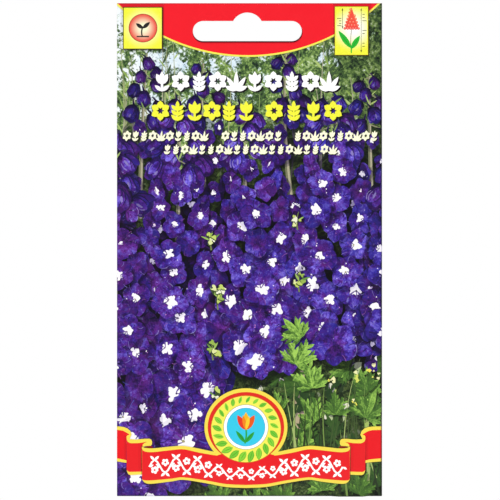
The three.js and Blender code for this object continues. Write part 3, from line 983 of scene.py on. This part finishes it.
def label(art):
    # the last step paints shade along the packet's edges and a shadow under the slot
    for draw in (header, left_box, right_box, titles, ribbon, badge, garland, worn_edges):
        draw(art)


# ---------------------------------------------------------------- the back of the packet

# Each digit's line, in a box of 1 by 1.6.
DIGITS = [
    [(0, 0.3), (0, 1.3), (0.25, 1.6), (0.75, 1.6), (1, 1.3), (1, 0.3), (0.75, 0), (0.25, 0), (0, 0.3)],
    [(0.2, 1.25), (0.6, 1.6), (0.6, 0)],
    [(0, 1.25), (0.25, 1.6), (0.75, 1.6), (1, 1.25), (1, 1), (0, 0), (1, 0)],
    [(0, 1.45), (0.3, 1.6), (0.8, 1.6), (1, 1.25), (0.8, 0.9), (0.4, 0.85), (0.8, 0.8), (1, 0.4), (0.75, 0),
     (0.25, 0), (0, 0.2)],
    [(0.75, 0), (0.75, 1.6), (0, 0.5), (1, 0.5)],
    [(1, 1.6), (0.1, 1.6), (0, 0.85), (0.6, 1), (1, 0.7), (1, 0.3), (0.7, 0), (0.2, 0), (0, 0.2)],
    [(0.85, 1.6), (0.3, 1.2), (0, 0.6), (0, 0.3), (0.3, 0), (0.7, 0), (1, 0.3), (1, 0.6), (0.7, 0.9),
     (0.1, 0.7)],
    [(0, 1.6), (1, 1.6), (0.35, 0)],
    [(0.5, 0.85), (0.1, 1.2), (0.3, 1.6), (0.7, 1.6), (0.9, 1.2), (0.5, 0.85), (0, 0.4), (0.25, 0), (0.75, 0),
     (1, 0.4), (0.5, 0.85)],
    [(0.9, 0.9), (0.3, 0.7), (0, 1), (0, 1.3), (0.3, 1.6), (0.7, 1.6), (1, 1.3), (1, 1), (0.7, 0.4),
     (0.15, 0)],
]
VIOLET_INK, GREY_INK, CREAM, SOIL = ink(84, 58, 160), ink(96, 92, 104), ink(250, 246, 228), ink(60, 40, 30)


def number(art, value, x, v, height, colour):
    wide, gap, half = height * 0.36, height * 0.2, height * 0.13 / 2
    digits = [int(digit) for digit in str(value)]
    start = x - (len(digits) * (wide + gap) - gap) / 2
    for k, digit in enumerate(digits):
        points = np.array(DIGITS[digit]) * (wide, height / 1.6) + (start + k * (wide + gap), v - height / 2)
        for a, b in zip(points, points[1:]):
            along = (b - a) / np.linalg.norm(b - a) * half
            side = np.array([-along[1], along[0]])
            art.paint([a - along - side, b + along - side, b + along + side, a - along + side], colour)


def text_bars(art, words, v, end, half):
    """A line of grey bars, one for each word."""
    x = -34
    while x < end - 2:
        length = min(words.uniform(2.4, 8.5), end - x)
        art.paint(box(x, v - half, x + length, v + half), GREY_INK)
        x += length + 1.3


def calendar(art):
    """Twelve numbered boxes for the months, two of them green and three violet."""
    art.paint(box(-35, 71.6, 35, 83.6), ink(226, 222, 240))
    for month in range(12):
        x = -34.2 + month * 5.7
        colour = ink(126, 190, 84) if month in (3, 4) else ink(150, 120, 206) if month in (5, 6, 7) else WHITE
        art.paint(box(x, 72.4, x + 5.3, 77.2), GREY_INK)
        art.paint(box(x + 0.15, 72.55, x + 5.15, 77.05), colour)
        number(art, month + 1, x + 2.65, 80.4, 2.5, VIOLET_INK)


def sun_sign(art, x, v):
    art.paint(disc(x, v, 2.5, 24), ink(250, 196, 40))
    for angle in range(0, 360, 45):
        (near_x, near_v), (far_x, far_v) = polar(3.3, radians(angle)), polar(5.4, radians(angle))
        art.paint(stroke([(x + near_x, v + near_v), (x + far_x, v + far_v)], 0.7, 0.3), ink(250, 170, 30))


def water_sign(art, x, v):
    art.paint(np.vstack([arc(x, v - 1.2, 3.1, -205, 25, 20), [(x, v + 5.2)]]), ink(60, 150, 220))
    art.paint(blade(x - 1.4, v - 2.6, 2.2, 0.9, 10), ink(190, 226, 250))


def sowing_sign(art, x, v):
    art.paint(arc(x, v, 7.1, 187, 353, 24), ink(150, 104, 66))
    for outline in (disc(x, v - 3.6, 1, 12, 0.7), box(x - 0.14, v - 2.4, x + 0.14, v + 3.4),
                    [(x - 0.8, v - 1.4), (x, v - 2.7), (x + 0.8, v - 1.4)]):
        art.paint(outline, SOIL)
    number(art, 2, x + 3.4, v + 3.2, 3, SOIL)


def back_label(art):
    """The back, as it's seen from behind: x runs to the viewer's right."""
    art.paint(box(-40, SHEET_LOW, 40, HEIGHT), CREAM)
    art.paint(arch(0.3, 190.45, 57.95), YELLOW)
    art.paint(arch(0.3, 190.45, 57.4), RED)
    ornaments(art, [TULIP, BLOSSOM, SPRIG, BLOSSOM, FAN], spaced(-18, 18, 121.6, 7), 5.4, VIOLET_INK)
    for v in (118.8, 118.1):
        art.paint(box(-34, v - 0.12, 34, v + 0.12), VIOLET_INK)
    words = random.Random(5)
    for line in range(9):
        text_bars(art, words, 113.4 - line * 3, 34 if line not in (4, 8) else words.uniform(-6, 14), 0.52)
    calendar(art)
    for x, sign in ((-24, sun_sign), (0, water_sign), (24, sowing_sign)):
        art.paint(disc(x, 58, 7.6, 40), VIOLET_INK)
        art.paint(disc(x, 58, 7.1, 40), WHITE)
        sign(art, x, 58)
    for line in range(5):
        text_bars(art, words, 45.6 - line * 3, 34 if line < 4 else 4, 0.5)
    art.paint(box(-40, 17, 40, 27.5), VIOLET_INK)
    ornaments(art, [BLOSSOM, SPRIG], spaced(-35.6, 35.6, 19.4, 11), 5.6, ink(232, 226, 246))
    for v in (28.6, 15.9):
        art.paint(box(-40, v - 0.2, 40, v + 0.2), YELLOW)


def wrap_back(art):
    """Lays the back's print on both ends of the sheet, which meet in the seam."""
    back = Art()
    back_label(back)
    for offset, low, high in ((-BACK, -LAP_TO, 40), (BACK, -40, -LAP_FROM)):
        for outline, (_, colour, *_) in zip(back.outlines, back.looks):
            if outline[:, 0].max() > low and outline[:, 0].min() < high:
                art.paint(pair(np.clip(outline[:, 0], -BACK / 2, BACK / 2) + offset, outline[:, 1]), colour)
    art.add(box(-BACK / 2, SHEET_LOW, BACK / 2, FRONT_LOW - 2.2), "paper")


# ---------------------------------------------------------------- numbers in material nodes

def feed(tree, socket, value):
    """Links an input to a number or an output, or sets it to a value or a colour."""
    if isinstance(value, Num):
        value = value.socket
    if isinstance(value, bpy.types.NodeSocket):
        tree.links.new(value, socket)
    else:
        socket.default_value = (*value, 1) if isinstance(value, tuple) else value


def make(tree, kind, inputs, **settings):
    """A new node, with its settings and what its inputs are fed."""
    node = tree.nodes.new("ShaderNode" + kind)
    for name, value in settings.items():
        setattr(node, name, value)
    for name, value in inputs.items():
        feed(tree, node.inputs[name], value)
    return node


class Num:
    """A number that a material's nodes work out, written as a sum."""

    def __init__(self, tree, socket):
        self.tree, self.socket = tree, socket

    def math(self, operation, *others, clamp=False):
        inputs = dict(enumerate((self, *others)))
        node = make(self.tree, "Math", inputs, operation=operation, use_clamp=clamp)
        return Num(self.tree, node.outputs[0])

    __add__ = partialmethod(math, "ADD")
    __sub__ = partialmethod(math, "SUBTRACT")
    __mul__ = partialmethod(math, "MULTIPLY")
    __truediv__ = partialmethod(math, "DIVIDE")
    __pow__ = partialmethod(math, "POWER")
    __abs__ = partialmethod(math, "ABSOLUTE")
    sin = partialmethod(math, "SINE")
    clip = partialmethod(math, "ADD", 0, clamp=True)

    def __rsub__(self, other):
        return (self * -1) + other

    def step(self, low, high):
        """0 below low, 1 above high, and smooth between."""
        inputs = {"Value": self, "From Min": low, "From Max": high}
        node = make(self.tree, "MapRange", inputs, interpolation_type="SMOOTHSTEP")
        return Num(self.tree, node.outputs[0])


class Nodes:
    """A material's node tree, with the few kinds of node that the materials here are made of."""

    def __init__(self, name):
        self.material = bpy.data.materials.new(name)
        self.material.use_nodes = True
        self.tree = self.material.node_tree
        self.tree.nodes.clear()
        self.shader = self.make("BsdfPrincipled", {})
        self.make("OutputMaterial", {"Surface": self.shader.outputs[0]})

    def make(self, kind, inputs, **settings):
        return make(self.tree, kind, inputs, **settings)

    def numbers(self, vector):
        return [Num(self.tree, part) for part in self.make("SeparateXYZ", {0: vector}).outputs]

    def attribute(self, name):
        return self.make("Attribute", {}, attribute_name=name).outputs["Vector"]

    def object_mm(self):
        return [n * 1000 for n in self.numbers(self.make("TexCoord", {}).outputs["Object"])]

    def vector(self, *parts):
        return self.make("CombineXYZ", dict(enumerate(parts))).outputs[0]

    def noise(self, x, y, z=0, scale=1, detail=2, rough=0.5):
        inputs = {"Vector": self.vector(x, y, z), "Scale": scale, "Detail": detail, "Roughness": rough}
        return Num(self.tree, self.make("TexNoise", inputs).outputs["Fac"])

    def cells(self, x, y, scale):
        """A random value for each of the cells that a plane is split into."""
        cells = self.make("TexVoronoi", {"Vector": self.vector(x, y), "Scale": scale})
        return self.numbers(cells.outputs["Color"])[0]

    def mix(self, a, b, amount):
        """The colour between a and b. Each may be a colour or an output."""
        return self.make("Mix", {6: a, 7: b, 0: amount}, data_type="RGBA").outputs[2]

    def scaled(self, colour, amount):
        """A colour made lighter or darker."""
        return self.make("VectorMath", {0: colour, "Scale": amount}, operation="SCALE").outputs[0]

    def finish(self, colour, roughness=0.36, grain=0.02, bump=0.12):
        """Coated paper: a faint tooth, and gloss that varies a little."""
        place = self.object_mm()
        cloud = self.noise(*place, 0.35, 3, 0.6)
        tooth = self.noise(*place, 5, 3, 0.6)
        relief = self.make("Bump", {"Strength": bump, "Distance": grain * MM, "Height": tooth})
        for name, value in {"Base Color": colour, "Roughness": cloud * 0.14 + (roughness - 0.07),
                            "Normal": relief.outputs[0]}.items():
            feed(self.tree, self.shader.inputs[name], value)
        self.shader.inputs["Specular IOR Level"].default_value = 0.22
        return self.material


DEEP, VIOLET, BLUE = (0.005, 0.003, 0.03), (0.042, 0.01, 0.225), (0.028, 0.026, 0.36)
PLUM, LIT, GLINT = (0.125, 0.017, 0.235), (0.145, 0.105, 0.52), (0.42, 0.4, 0.8)


def petal_material():
    """Petals with streaks of their own, which melt into one another at some tips. Buds don't melt."""
    n = Nodes("print_petals")
    u, v, seed = n.numbers(n.attribute("local"))
    light, hue, shade = n.numbers(n.attribute("ink"))
    x, _, z = n.object_mm()
    v = v.clip()
    is_bud = seed.step(1.4, 1.6)
    lean = (seed - is_bud * 2) * 2 - 1
    half = (((v ** 1.15) * pi).sin() ** 0.7) * PETAL_WIDE + 0.001
    side = (abs(u) / half).clip()
    fan = u / (v + 0.22)
    wobble = n.noise(u, v, seed * 9, 3, 2)
    veins = (fan * 26 + wobble * 8).sin() * 0.5 + 0.5
    streaks = n.noise(fan * 5, v * 1.2, seed * 20, 2.2, 3, 0.6)
    clouds = n.noise(x, z, 1, 0.26, 3, 0.55)
    patches = n.noise(x, z, 5, 0.62, 4, 0.65)
    fine = n.noise(x, z, 3, 1.7, 3, 0.7)
    bits = n.cells(x + patches * 2.4, z + fine * 1.4, 0.85)
    flakes = n.cells(x - fine * 1.2, z + patches * 2, 1.6)
    melt = (side.step(0.5, 0.95) * 0.7 + v.step(0.55, 0.95)).clip()
    melt = melt * n.noise(x, z, 8, 0.32).step(0.38, 0.54) * (1 - is_bud)
    own = v.step(0, 0.7) * 0.52 + 0.58 + u * lean * 1.2 - side.step(0.7, 1) * 0.34
    own = own * (veins * 0.16 + 0.91) * (streaks * 1.3 + 0.36)
    own = own + (0.8 - own) * melt * 0.6
    grain = (bits * 0.6 + 0.7) * (flakes * 0.4 + 0.8)
    tone = own * grain * (clouds * 2.6 - 0.3) * (patches * 1.9 + 0.05) * (fine * 1.9 + 0.05)
    light = light + (0.9 - light) * melt * 0.4
    tint = hue + (0.45 - hue) * melt + x * 0.004 + (bits - 0.5) * 0.24
    colour = n.mix(VIOLET, BLUE, (tint + clouds * 1.6 + patches * 1.4 - 1.78).clip())
    plum = n.noise(x, z, 12, 0.4, 3, 0.6)
    near_eye = (1 - v.step(0.15, 0.62)) * (1 - is_bud)
    colour = n.mix(colour, PLUM, ((0.62 - tint) * 1.1 + streaks * 0.9 + plum * 1.7 + near_eye * 0.44
                                  + (flakes - 0.5) * 0.3 - 1.3).clip())
    colour = n.mix(DEEP, colour, (tone * 1.3 - 0.14).clip())
    colour = n.mix(colour, LIT, ((tone * light - 0.84) * 0.62).clip())
    edge_line = (side.step(0.86, 0.97) + v.step(0.9, 0.98)).clip()
    edge_line = edge_line * n.noise(x, z, 21, 0.55, 2, 0.6).step(0.54, 0.66)
    glint = (fine * 1.3 + patches * 0.7 + flakes * 0.12 - 1.26).step(0, 0.12)
    colour = n.mix(colour, GLINT, ((glint * 0.42 + edge_line * 0.34) * light).clip())
    return n.finish(n.scaled(colour, light * shade * 1.12))


def leaf_material():
    n = Nodes("print_leaves")
    u, v, seed = n.numbers(n.attribute("local"))
    light, _, shade = n.numbers(n.attribute("ink"))
    x, _, z = n.object_mm()
    mottle = n.noise(x, z, seed * 5, 0.9, 4, 0.65)
    fine = n.noise(x, z, 2, 2.4, 3, 0.7)
    rib = 1 - (abs(u) * 26).clip()
    side_veins = ((abs(u) * 1.6 - v) * 34).sin().step(0.5, 1)
    tone = mottle * 1.6 + fine * 0.9 - 0.5 - side_veins * 0.14 + rib * 0.3 + u * 1.8 + v * 0.28
    colour = n.mix((0.01, 0.028, 0.012), (0.085, 0.2, 0.03), (tone * light * 1.3).clip())
    colour = n.mix(colour, (0.34, 0.58, 0.1), ((tone * light - 0.64) * 1.8).clip())
    return n.finish(n.scaled(colour, shade))


def garden_material():
    """Trees and sky out of focus, darker and denser towards the ground."""
    n = Nodes("print_garden")
    x, v, _ = n.numbers(n.attribute("local"))
    shade = n.numbers(n.attribute("ink"))[2]
    big = n.noise(x, v, 0, 0.07)
    mid = n.noise(x, v * 0.9, 4, 0.32, 4, 0.7)
    fine = n.noise(x, v, 9, 1.2, 4, 0.75)
    sprays = n.cells(x + fine * 1.6, v * 0.8 + mid * 3, 0.95)
    tone = big * 0.55 + mid * 1.2 + fine * 1.8 + (sprays - 0.5) * 0.36 - 1.35
    colour = n.mix((0.01, 0.022, 0.013), (0.07, 0.14, 0.04), tone.step(0.05, 0.42))
    colour = n.mix(colour, (0.26, 0.4, 0.1), tone.step(0.38, 0.68))
    colour = n.mix(colour, (0.62, 0.72, 0.48), tone.step(0.66, 0.92))
    gap = n.noise(x, v, 2, 0.17, 4, 0.65) + (fine - 0.5) * 0.5
    gap = gap + (sprays - 0.5) * 0.1 - (x + 6) * 0.0026
    sky = (gap + (v - 125) * 0.0035).step(0.55, 0.64) * v.step(98, 112)
    pale = 1 - x.step(-38, -26)
    haze = (mid * 1.4 + fine * 0.8 - 0.45 + pale * 0.5).clip()
    colour = n.mix(colour, n.mix((0.36, 0.58, 0.74), (0.84, 0.89, 0.92), haze), sky)
    low = 1 - v.step(20, 105)
    right = x.step(14, 38) * (1 - sky)
    return n.finish(n.scaled(colour, shade * (1 - low * 0.72) * (1 - right * 0.42)))


def inks_material():
    n = Nodes("print_inks")
    mottle = n.noise(*n.object_mm(), 1.3, 3, 0.6)
    return n.finish(n.scaled(n.attribute("ink"), mottle * 0.05 + 0.975))


def glow_material():
    """An ink that is pale in the middle of its shape."""
    n = Nodes("print_glow")
    u, v, white = n.numbers(n.attribute("local"))
    radius = (u * u + v * v) ** 0.5
    middle = n.mix((0.95, 0.91, 0.62), (0.97, 0.97, 0.92), white)
    return n.finish(n.mix(middle, n.attribute("ink"), radius.step(0.1, 0.95)))


def paper_material():
    n = Nodes("bare_paper")
    fibres = n.noise(*n.object_mm(), 2.4, 4, 0.65)
    return n.finish(n.mix((0.8, 0.79, 0.75), (0.9, 0.89, 0.87), fibres.step(0.3, 0.7)), roughness=0.55)


MATERIALS = {"paper": paper_material, "inks": inks_material, "glow": glow_material, "petal": petal_material,
             "leaf": leaf_material, "garden": garden_material}
KINDS = list(MATERIALS)
SHADE_TINT = np.array([1.15, 1.25, 0.8])  # shadows on the print lean to violet


def print_rows(looks, owners, shades, flat, triangles):
    """Each corner's ink, its place in its own shape's coordinates, and each triangle's material."""
    count = len(triangles)
    ink_rows = np.ones((count, 3, 3), np.float32)
    local_rows = np.zeros((count, 3, 3), np.float32)
    index = np.zeros(count, np.int32)
    owners, shades = np.array(owners), np.array(shades)
    order = np.argsort(owners, kind="stable")
    for rows in np.split(order, np.flatnonzero(np.diff(owners[order])) + 1):
        owner = owners[rows[0]]
        material, colour, matrix, seed = looks[owner] if owner >= 0 else ("paper", (1, 1, 1), None, 0)
        index[rows] = KINDS.index(material)
        if material in ("petal", "leaf", "garden"):
            ink_rows[rows, :, :2] = colour
            ink_rows[rows, :, 2] = shades[rows, None]
        else:
            depth = 0.3 if colour == EYE_WHITE else 1  # white eyes stay light where petals shade them
            ink_rows[rows] = np.array(colour) * shades[rows, None, None] ** (SHADE_TINT * depth)
        if matrix is not None:
            local_rows[rows, :, :2] = flat[triangles[rows]] @ matrix[:, :2].T + matrix[:, 2]
            local_rows[rows, :, 2] = seed
    return ink_rows.reshape(-1, 3), local_rows.reshape(-1, 3), index


# ---------------------------------------------------------------- the printed sheet

def slot_outline():
    end = SLOT_TALL / 2
    reach = SLOT_LONG / 2 - end
    top = HANG - ARCH_TALL
    radius = (ARCH_HALF ** 2 + ARCH_TALL ** 2) / (2 * ARCH_TALL)
    angle = degrees(asin(1 - ARCH_TALL / radius))
    return np.concatenate([
        arc(SLOT_X + reach, top - end, end, -90, 90, 16),
        arc(SLOT_X, HANG - radius, radius, angle, 180 - angle, 14),
        arc(SLOT_X - reach, top - end, end, 90, 270, 16),
    ])


def stations(at, low, high):
    """Where the sheet is cut along one direction: at the given places, and not further apart than STEP."""
    fixed = sorted({low, high, *(p for p in at if low < p < high)})
    spread = [np.linspace(a, b, max(1, ceil((b - a) / STEP)) + 1)[:-1] for a, b in zip(fixed, fixed[1:])]
    return np.concatenate([*spread, [high]])


def cutting_plan():
    """The cuts across and along the sheet, the lines that its folds and ramps need, and its clockwise rim."""
    bends = [sign * (SIDE + SIDE_ARC * k / 6) for sign in (-1, 1) for k in range(7)]
    high, low = LAP_TO + LAP_SLACK, LAP_FROM - LAP_SLACK
    for ends in ((high, high + LAP_RAMP, 5), (low - LAP_RAMP, low, 3)):
        bends += [back_at(x, True) for x in np.linspace(*ends)]
    folds = [FOLD_AT - FOLD_ARC * k / 8 for k in range(9)]
    across, along = stations(bends, SHEET_FROM, SHEET_TO), stations(folds, SHEET_LOW, HEIGHT)
    lines = [((s, a), (s, b)) for s in bends if SHEET_FROM < s < SHEET_TO for a, b in zip(along, along[1:])]
    lines += [((a, t), (b, t)) for t in folds for a, b in zip(across, across[1:])]
    clip = [(s, SHEET_LOW) for s in across[:-1]] + [(SHEET_TO, t) for t in along[:-1]]
    clip += [(s, HEIGHT) for s in across[:0:-1]] + [(SHEET_FROM, t) for t in along[:0:-1]]
    return (across, along), lines, clip


def rim_edges(triangles):
    """The edges that only one triangle has, in that triangle's direction."""
    edges = sides(triangles)
    keys = np.sort(edges, axis=1) @ (triangles.max() + 1, 1)
    _, which, count = np.unique(keys, return_inverse=True, return_counts=True)
    return edges[count[which] == 1]


CLEAR = 0.3  # how far the lining's own vertices stay from the slot


def inner_face(flat, rim, cuts, holes):
    """A coarse lining that shares the printed face's rim: vertices, triangles, and where the rim is in it."""
    rim_vertices = np.unique(rim)
    renumbered = {v: k for k, v in enumerate(rim_vertices)}
    s, t = (c.ravel() for c in np.meshgrid(*cuts))
    keep = (s > SHEET_FROM) & (s < SHEET_TO) & (t > SHEET_LOW) & (t < HEIGHT)
    for hole in holes:
        for shift in ((CLEAR, 0), (-CLEAR, 0), (0, CLEAR), (0, -CLEAR)):
            keep &= ~covered(hole + shift, s, t)
    points = np.concatenate([flat[rim_vertices], np.stack([s, t], -1)[keep]])
    edges = [(renumbered[a], renumbered[b]) for a, b in rim.tolist()]
    found = delaunay_2d_cdt([Vector(p) for p in points], edges, [], 0, 1e-5, True)
    lining, corners = np.array([v[:] for v in found[0]]), np.array(found[2])
    centres = lining[corners].mean(1)
    inside = ~covered(holes[0], *centres.T) & ~covered(holes[1], *centres.T)
    to_lining = {rim_vertices[source]: k for k, sources in enumerate(found[3]) for source in sources
                 if source < len(rim_vertices)}
    return lining, corners[inside][:, ::-1], to_lining


def outward(s, t, side):
    """The normal of the folded sheet's outer or inner face."""
    step = 0.004
    across = folded(s + step, t, side) - folded(s - step, t, side)
    up = folded(s, t + step, side) - folded(s, t - step, side)
    normal = np.cross(across, up) * side
    return normal / lengths(normal)


def bake_map(flat, triangles, lining, lining_triangles, rim):
    """Where each corner lies in the baked picture: the print, and above it the plain inside and the rim."""
    margin, wide, small = 0.0075, 0.985, 0.05
    scale = wide / (SHEET_TO - SHEET_FROM)
    origin = np.array([SHEET_FROM, SHEET_LOW])
    printed = (flat[triangles] - origin) * scale + margin
    top = (HEIGHT - SHEET_LOW) * scale + margin
    plain = (lining[lining_triangles] - origin) * scale * small + (0.01, top + 0.008)
    run = np.linalg.norm(flat[rim[:, 1]] - flat[rim[:, 0]], axis=1)
    ends = np.cumsum(run)
    starts, ends = (0.1 + place * (0.88 / ends[-1]) for place in (ends - run, ends))
    low, high = (np.full(len(rim), top + above) for above in (0.012, 0.02))
    strip = np.stack([pair(ends, low), pair(starts, low), pair(starts, high), pair(ends, high)], 1)
    return np.concatenate([part.reshape(-1, 2) for part in (printed, plain, strip)])


def sheet_piece(art):
    """The whole packet as one closed paper body: the print, the plain inside and the rim between them."""
    slot = slot_outline()
    back_slot = (slot * (-1, 1))[::-1] - (BACK, 0)
    for hole in (slot, back_slot):
        art.add(hole, HOLE)
    cuts, lines, clip = cutting_plan()
    grid = np.stack([c.ravel() for c in np.meshgrid(cuts[0][1:-1], cuts[1][1:-1])], -1)
    flat, triangles, owners, shades = flatten(art, clip, lines, grid)
    used, triangles = np.unique(triangles, return_inverse=True)
    flat, triangles = flat[used], triangles.reshape(-1, 3)
    rim = rim_edges(triangles)
    lining, inner, to_lining = inner_face(flat, rim, cuts, (slot, back_slot))

    strip = [(b, a, to_lining[a] + len(flat), to_lining[b] + len(flat)) for a, b in rim.tolist()]
    vertices = np.concatenate([folded(*flat.T, 1), folded(*lining.T, -1)])
    mesh = bpy.data.meshes.new("printed_packet")
    mesh.from_pydata(vertices.tolist(), [], [*triangles.tolist(), *(inner + len(flat)).tolist(), *strip])
    plain = len(inner) * 3 + len(strip) * 4
    inks, places, index = print_rows(art.looks, owners, shades, flat, triangles)
    for name, values, rest in (("ink", inks, np.ones), ("local", places, np.zeros)):
        values = np.concatenate([values, rest((plain, 3), np.float32)])
        mesh.attributes.new(name, "FLOAT_VECTOR", "CORNER").data.foreach_set("vector", values.ravel())
    corners_uv = bake_map(flat, triangles, lining, inner, rim)
    mesh.uv_layers.new(name="OFBake").data.foreach_set("uv", corners_uv.astype(np.float32).ravel())
    index = np.concatenate([index, np.full(len(inner) + len(strip), KINDS.index("paper"), np.int32)])
    mesh.polygons.foreach_set("material_index", index)
    mesh.polygons.foreach_set("use_smooth", np.arange(len(index)) < len(index) - len(strip))
    for material in MATERIALS.values():
        mesh.materials.append(material())
    normals = np.concatenate([outward(*flat.T, 1)[triangles].reshape(-1, 3),
                              outward(*lining.T, -1)[inner].reshape(-1, 3), np.zeros((len(strip) * 4, 3))])
    mesh.normals_split_custom_set(normals.tolist())
    mesh.update()
    return placed("printed_packet", mesh)


# ---------------------------------------------------------------- glue and seeds, the CAD model's own bodies

def glue_material():
    n = Nodes("dried_glue")
    cloud = n.noise(*n.object_mm(), 0.8, 3)
    colour = n.mix((0.62, 0.55, 0.4), (0.8, 0.75, 0.62), cloud.step(0.3, 0.7))
    return n.finish(colour, roughness=0.42, grain=0.03)


def seed_material():
    n = Nodes("seed_coat")
    x, y, z = n.object_mm()
    ridges = n.noise(x, y, z, 3.2, 4, 0.7)
    spots = n.noise(z, x, y, 1.1, 2)
    colour = n.mix((0.02, 0.013, 0.009), (0.105, 0.068, 0.04), (ridges * 0.8 + spots * 0.5 - 0.25).clip())
    return n.finish(colour, roughness=0.62, grain=0.12, bump=0.7)


def dress_inside():
    glue, coat = glue_material(), seed_material()
    for name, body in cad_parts.items():
        if name != "printed_sheet":
            for slot in body.material_slots:
                slot.material = coat if name.startswith("seed") else glue


# ---------------------------------------------------------------- studio

def placed(name, data, place=(0, 0, 0)):
    holder = bpy.data.objects.new(name, data)
    holder.location = place
    bpy.context.scene.collection.objects.link(holder)
    return holder


def lamp(name, place, aim, size, power):
    light = bpy.data.lights.new(name, "AREA")
    light.size, light.energy = size, power
    turn = (aim - Vector(place)).to_track_quat("-Z", "Y").to_euler()
    placed(name, light, place).rotation_euler = turn


# What the photograph shows, in millimetres: its width, and the place of its middle on the packet.
PHOTO_WIDE, PHOTO_X, PHOTO_V = 150.85, 0.15, 74.54


def camera_and_lamps():
    scene = bpy.context.scene
    scene.view_settings.view_transform = "Standard"
    lens = bpy.data.cameras.new("camera")
    lens.lens, lens.sensor_width = 100, 36
    middle = Vector(((PHOTO_X - SLOT_X) * MM, 0, (PHOTO_V - HANG) * MM))
    away = -PHOTO_WIDE * MM * lens.lens / lens.sensor_width - PLY_OUT * MM
    scene.camera = placed("camera", lens, middle + Vector((0, away, 0)))
    scene.camera.rotation_euler = (pi / 2, 0, 0)
    lamp("left_light", (-1.1, -1.1, 0.5), middle, 1.2, 18.5)
    lamp("right_light", (1.1, -1.1, 0.3), middle, 1.2, 15.5)
    lamp("back_light", (-0.5, 1.5, 0.8), middle, 1.4, 22)


def surroundings():
    """White to the camera, and a dim light to all else."""
    world = bpy.data.worlds.new("studio")
    bpy.context.scene.world = world
    world.use_nodes = True
    tree = world.node_tree
    tree.nodes.clear()
    white = {"Color": (1, 1, 1)}
    seen, lit = make(tree, "Background", white), make(tree, "Background", white | {"Strength": 0.18})
    path = make(tree, "LightPath", {}).outputs["Is Camera Ray"]
    mix = make(tree, "MixShader", {0: path, 1: lit.outputs[0], 2: seen.outputs[0]})
    make(tree, "OutputWorld", {"Surface": mix.outputs[0]})


def floor():
    mesh = bpy.data.meshes.new("floor")
    mesh.from_pydata([(x, y, 0) for x, y in box(-0.6, -0.6, 0.6, 0.6).tolist()], [], [(0, 1, 2, 3)])
    n = Nodes("pale_floor")
    n.finish(n.mix((0.8, 0.8, 0.79), (0.84, 0.84, 0.83), n.noise(*n.object_mm(), 0.004)), roughness=0.8)
    feed(n.tree, n.shader.inputs["Emission Color"], (1, 1, 1))
    n.shader.inputs["Emission Strength"].default_value = 0.22
    mesh.materials.append(n.material)
    placed("floor", mesh, (0, 0, -0.3))


camera_and_lamps()
surroundings()
floor()
art = Art()
picture(art)
label(art)
wrap_back(art)
prune(art)
packet = sheet_piece(art)
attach(packet, "root")
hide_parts("printed_sheet")
dress_inside()
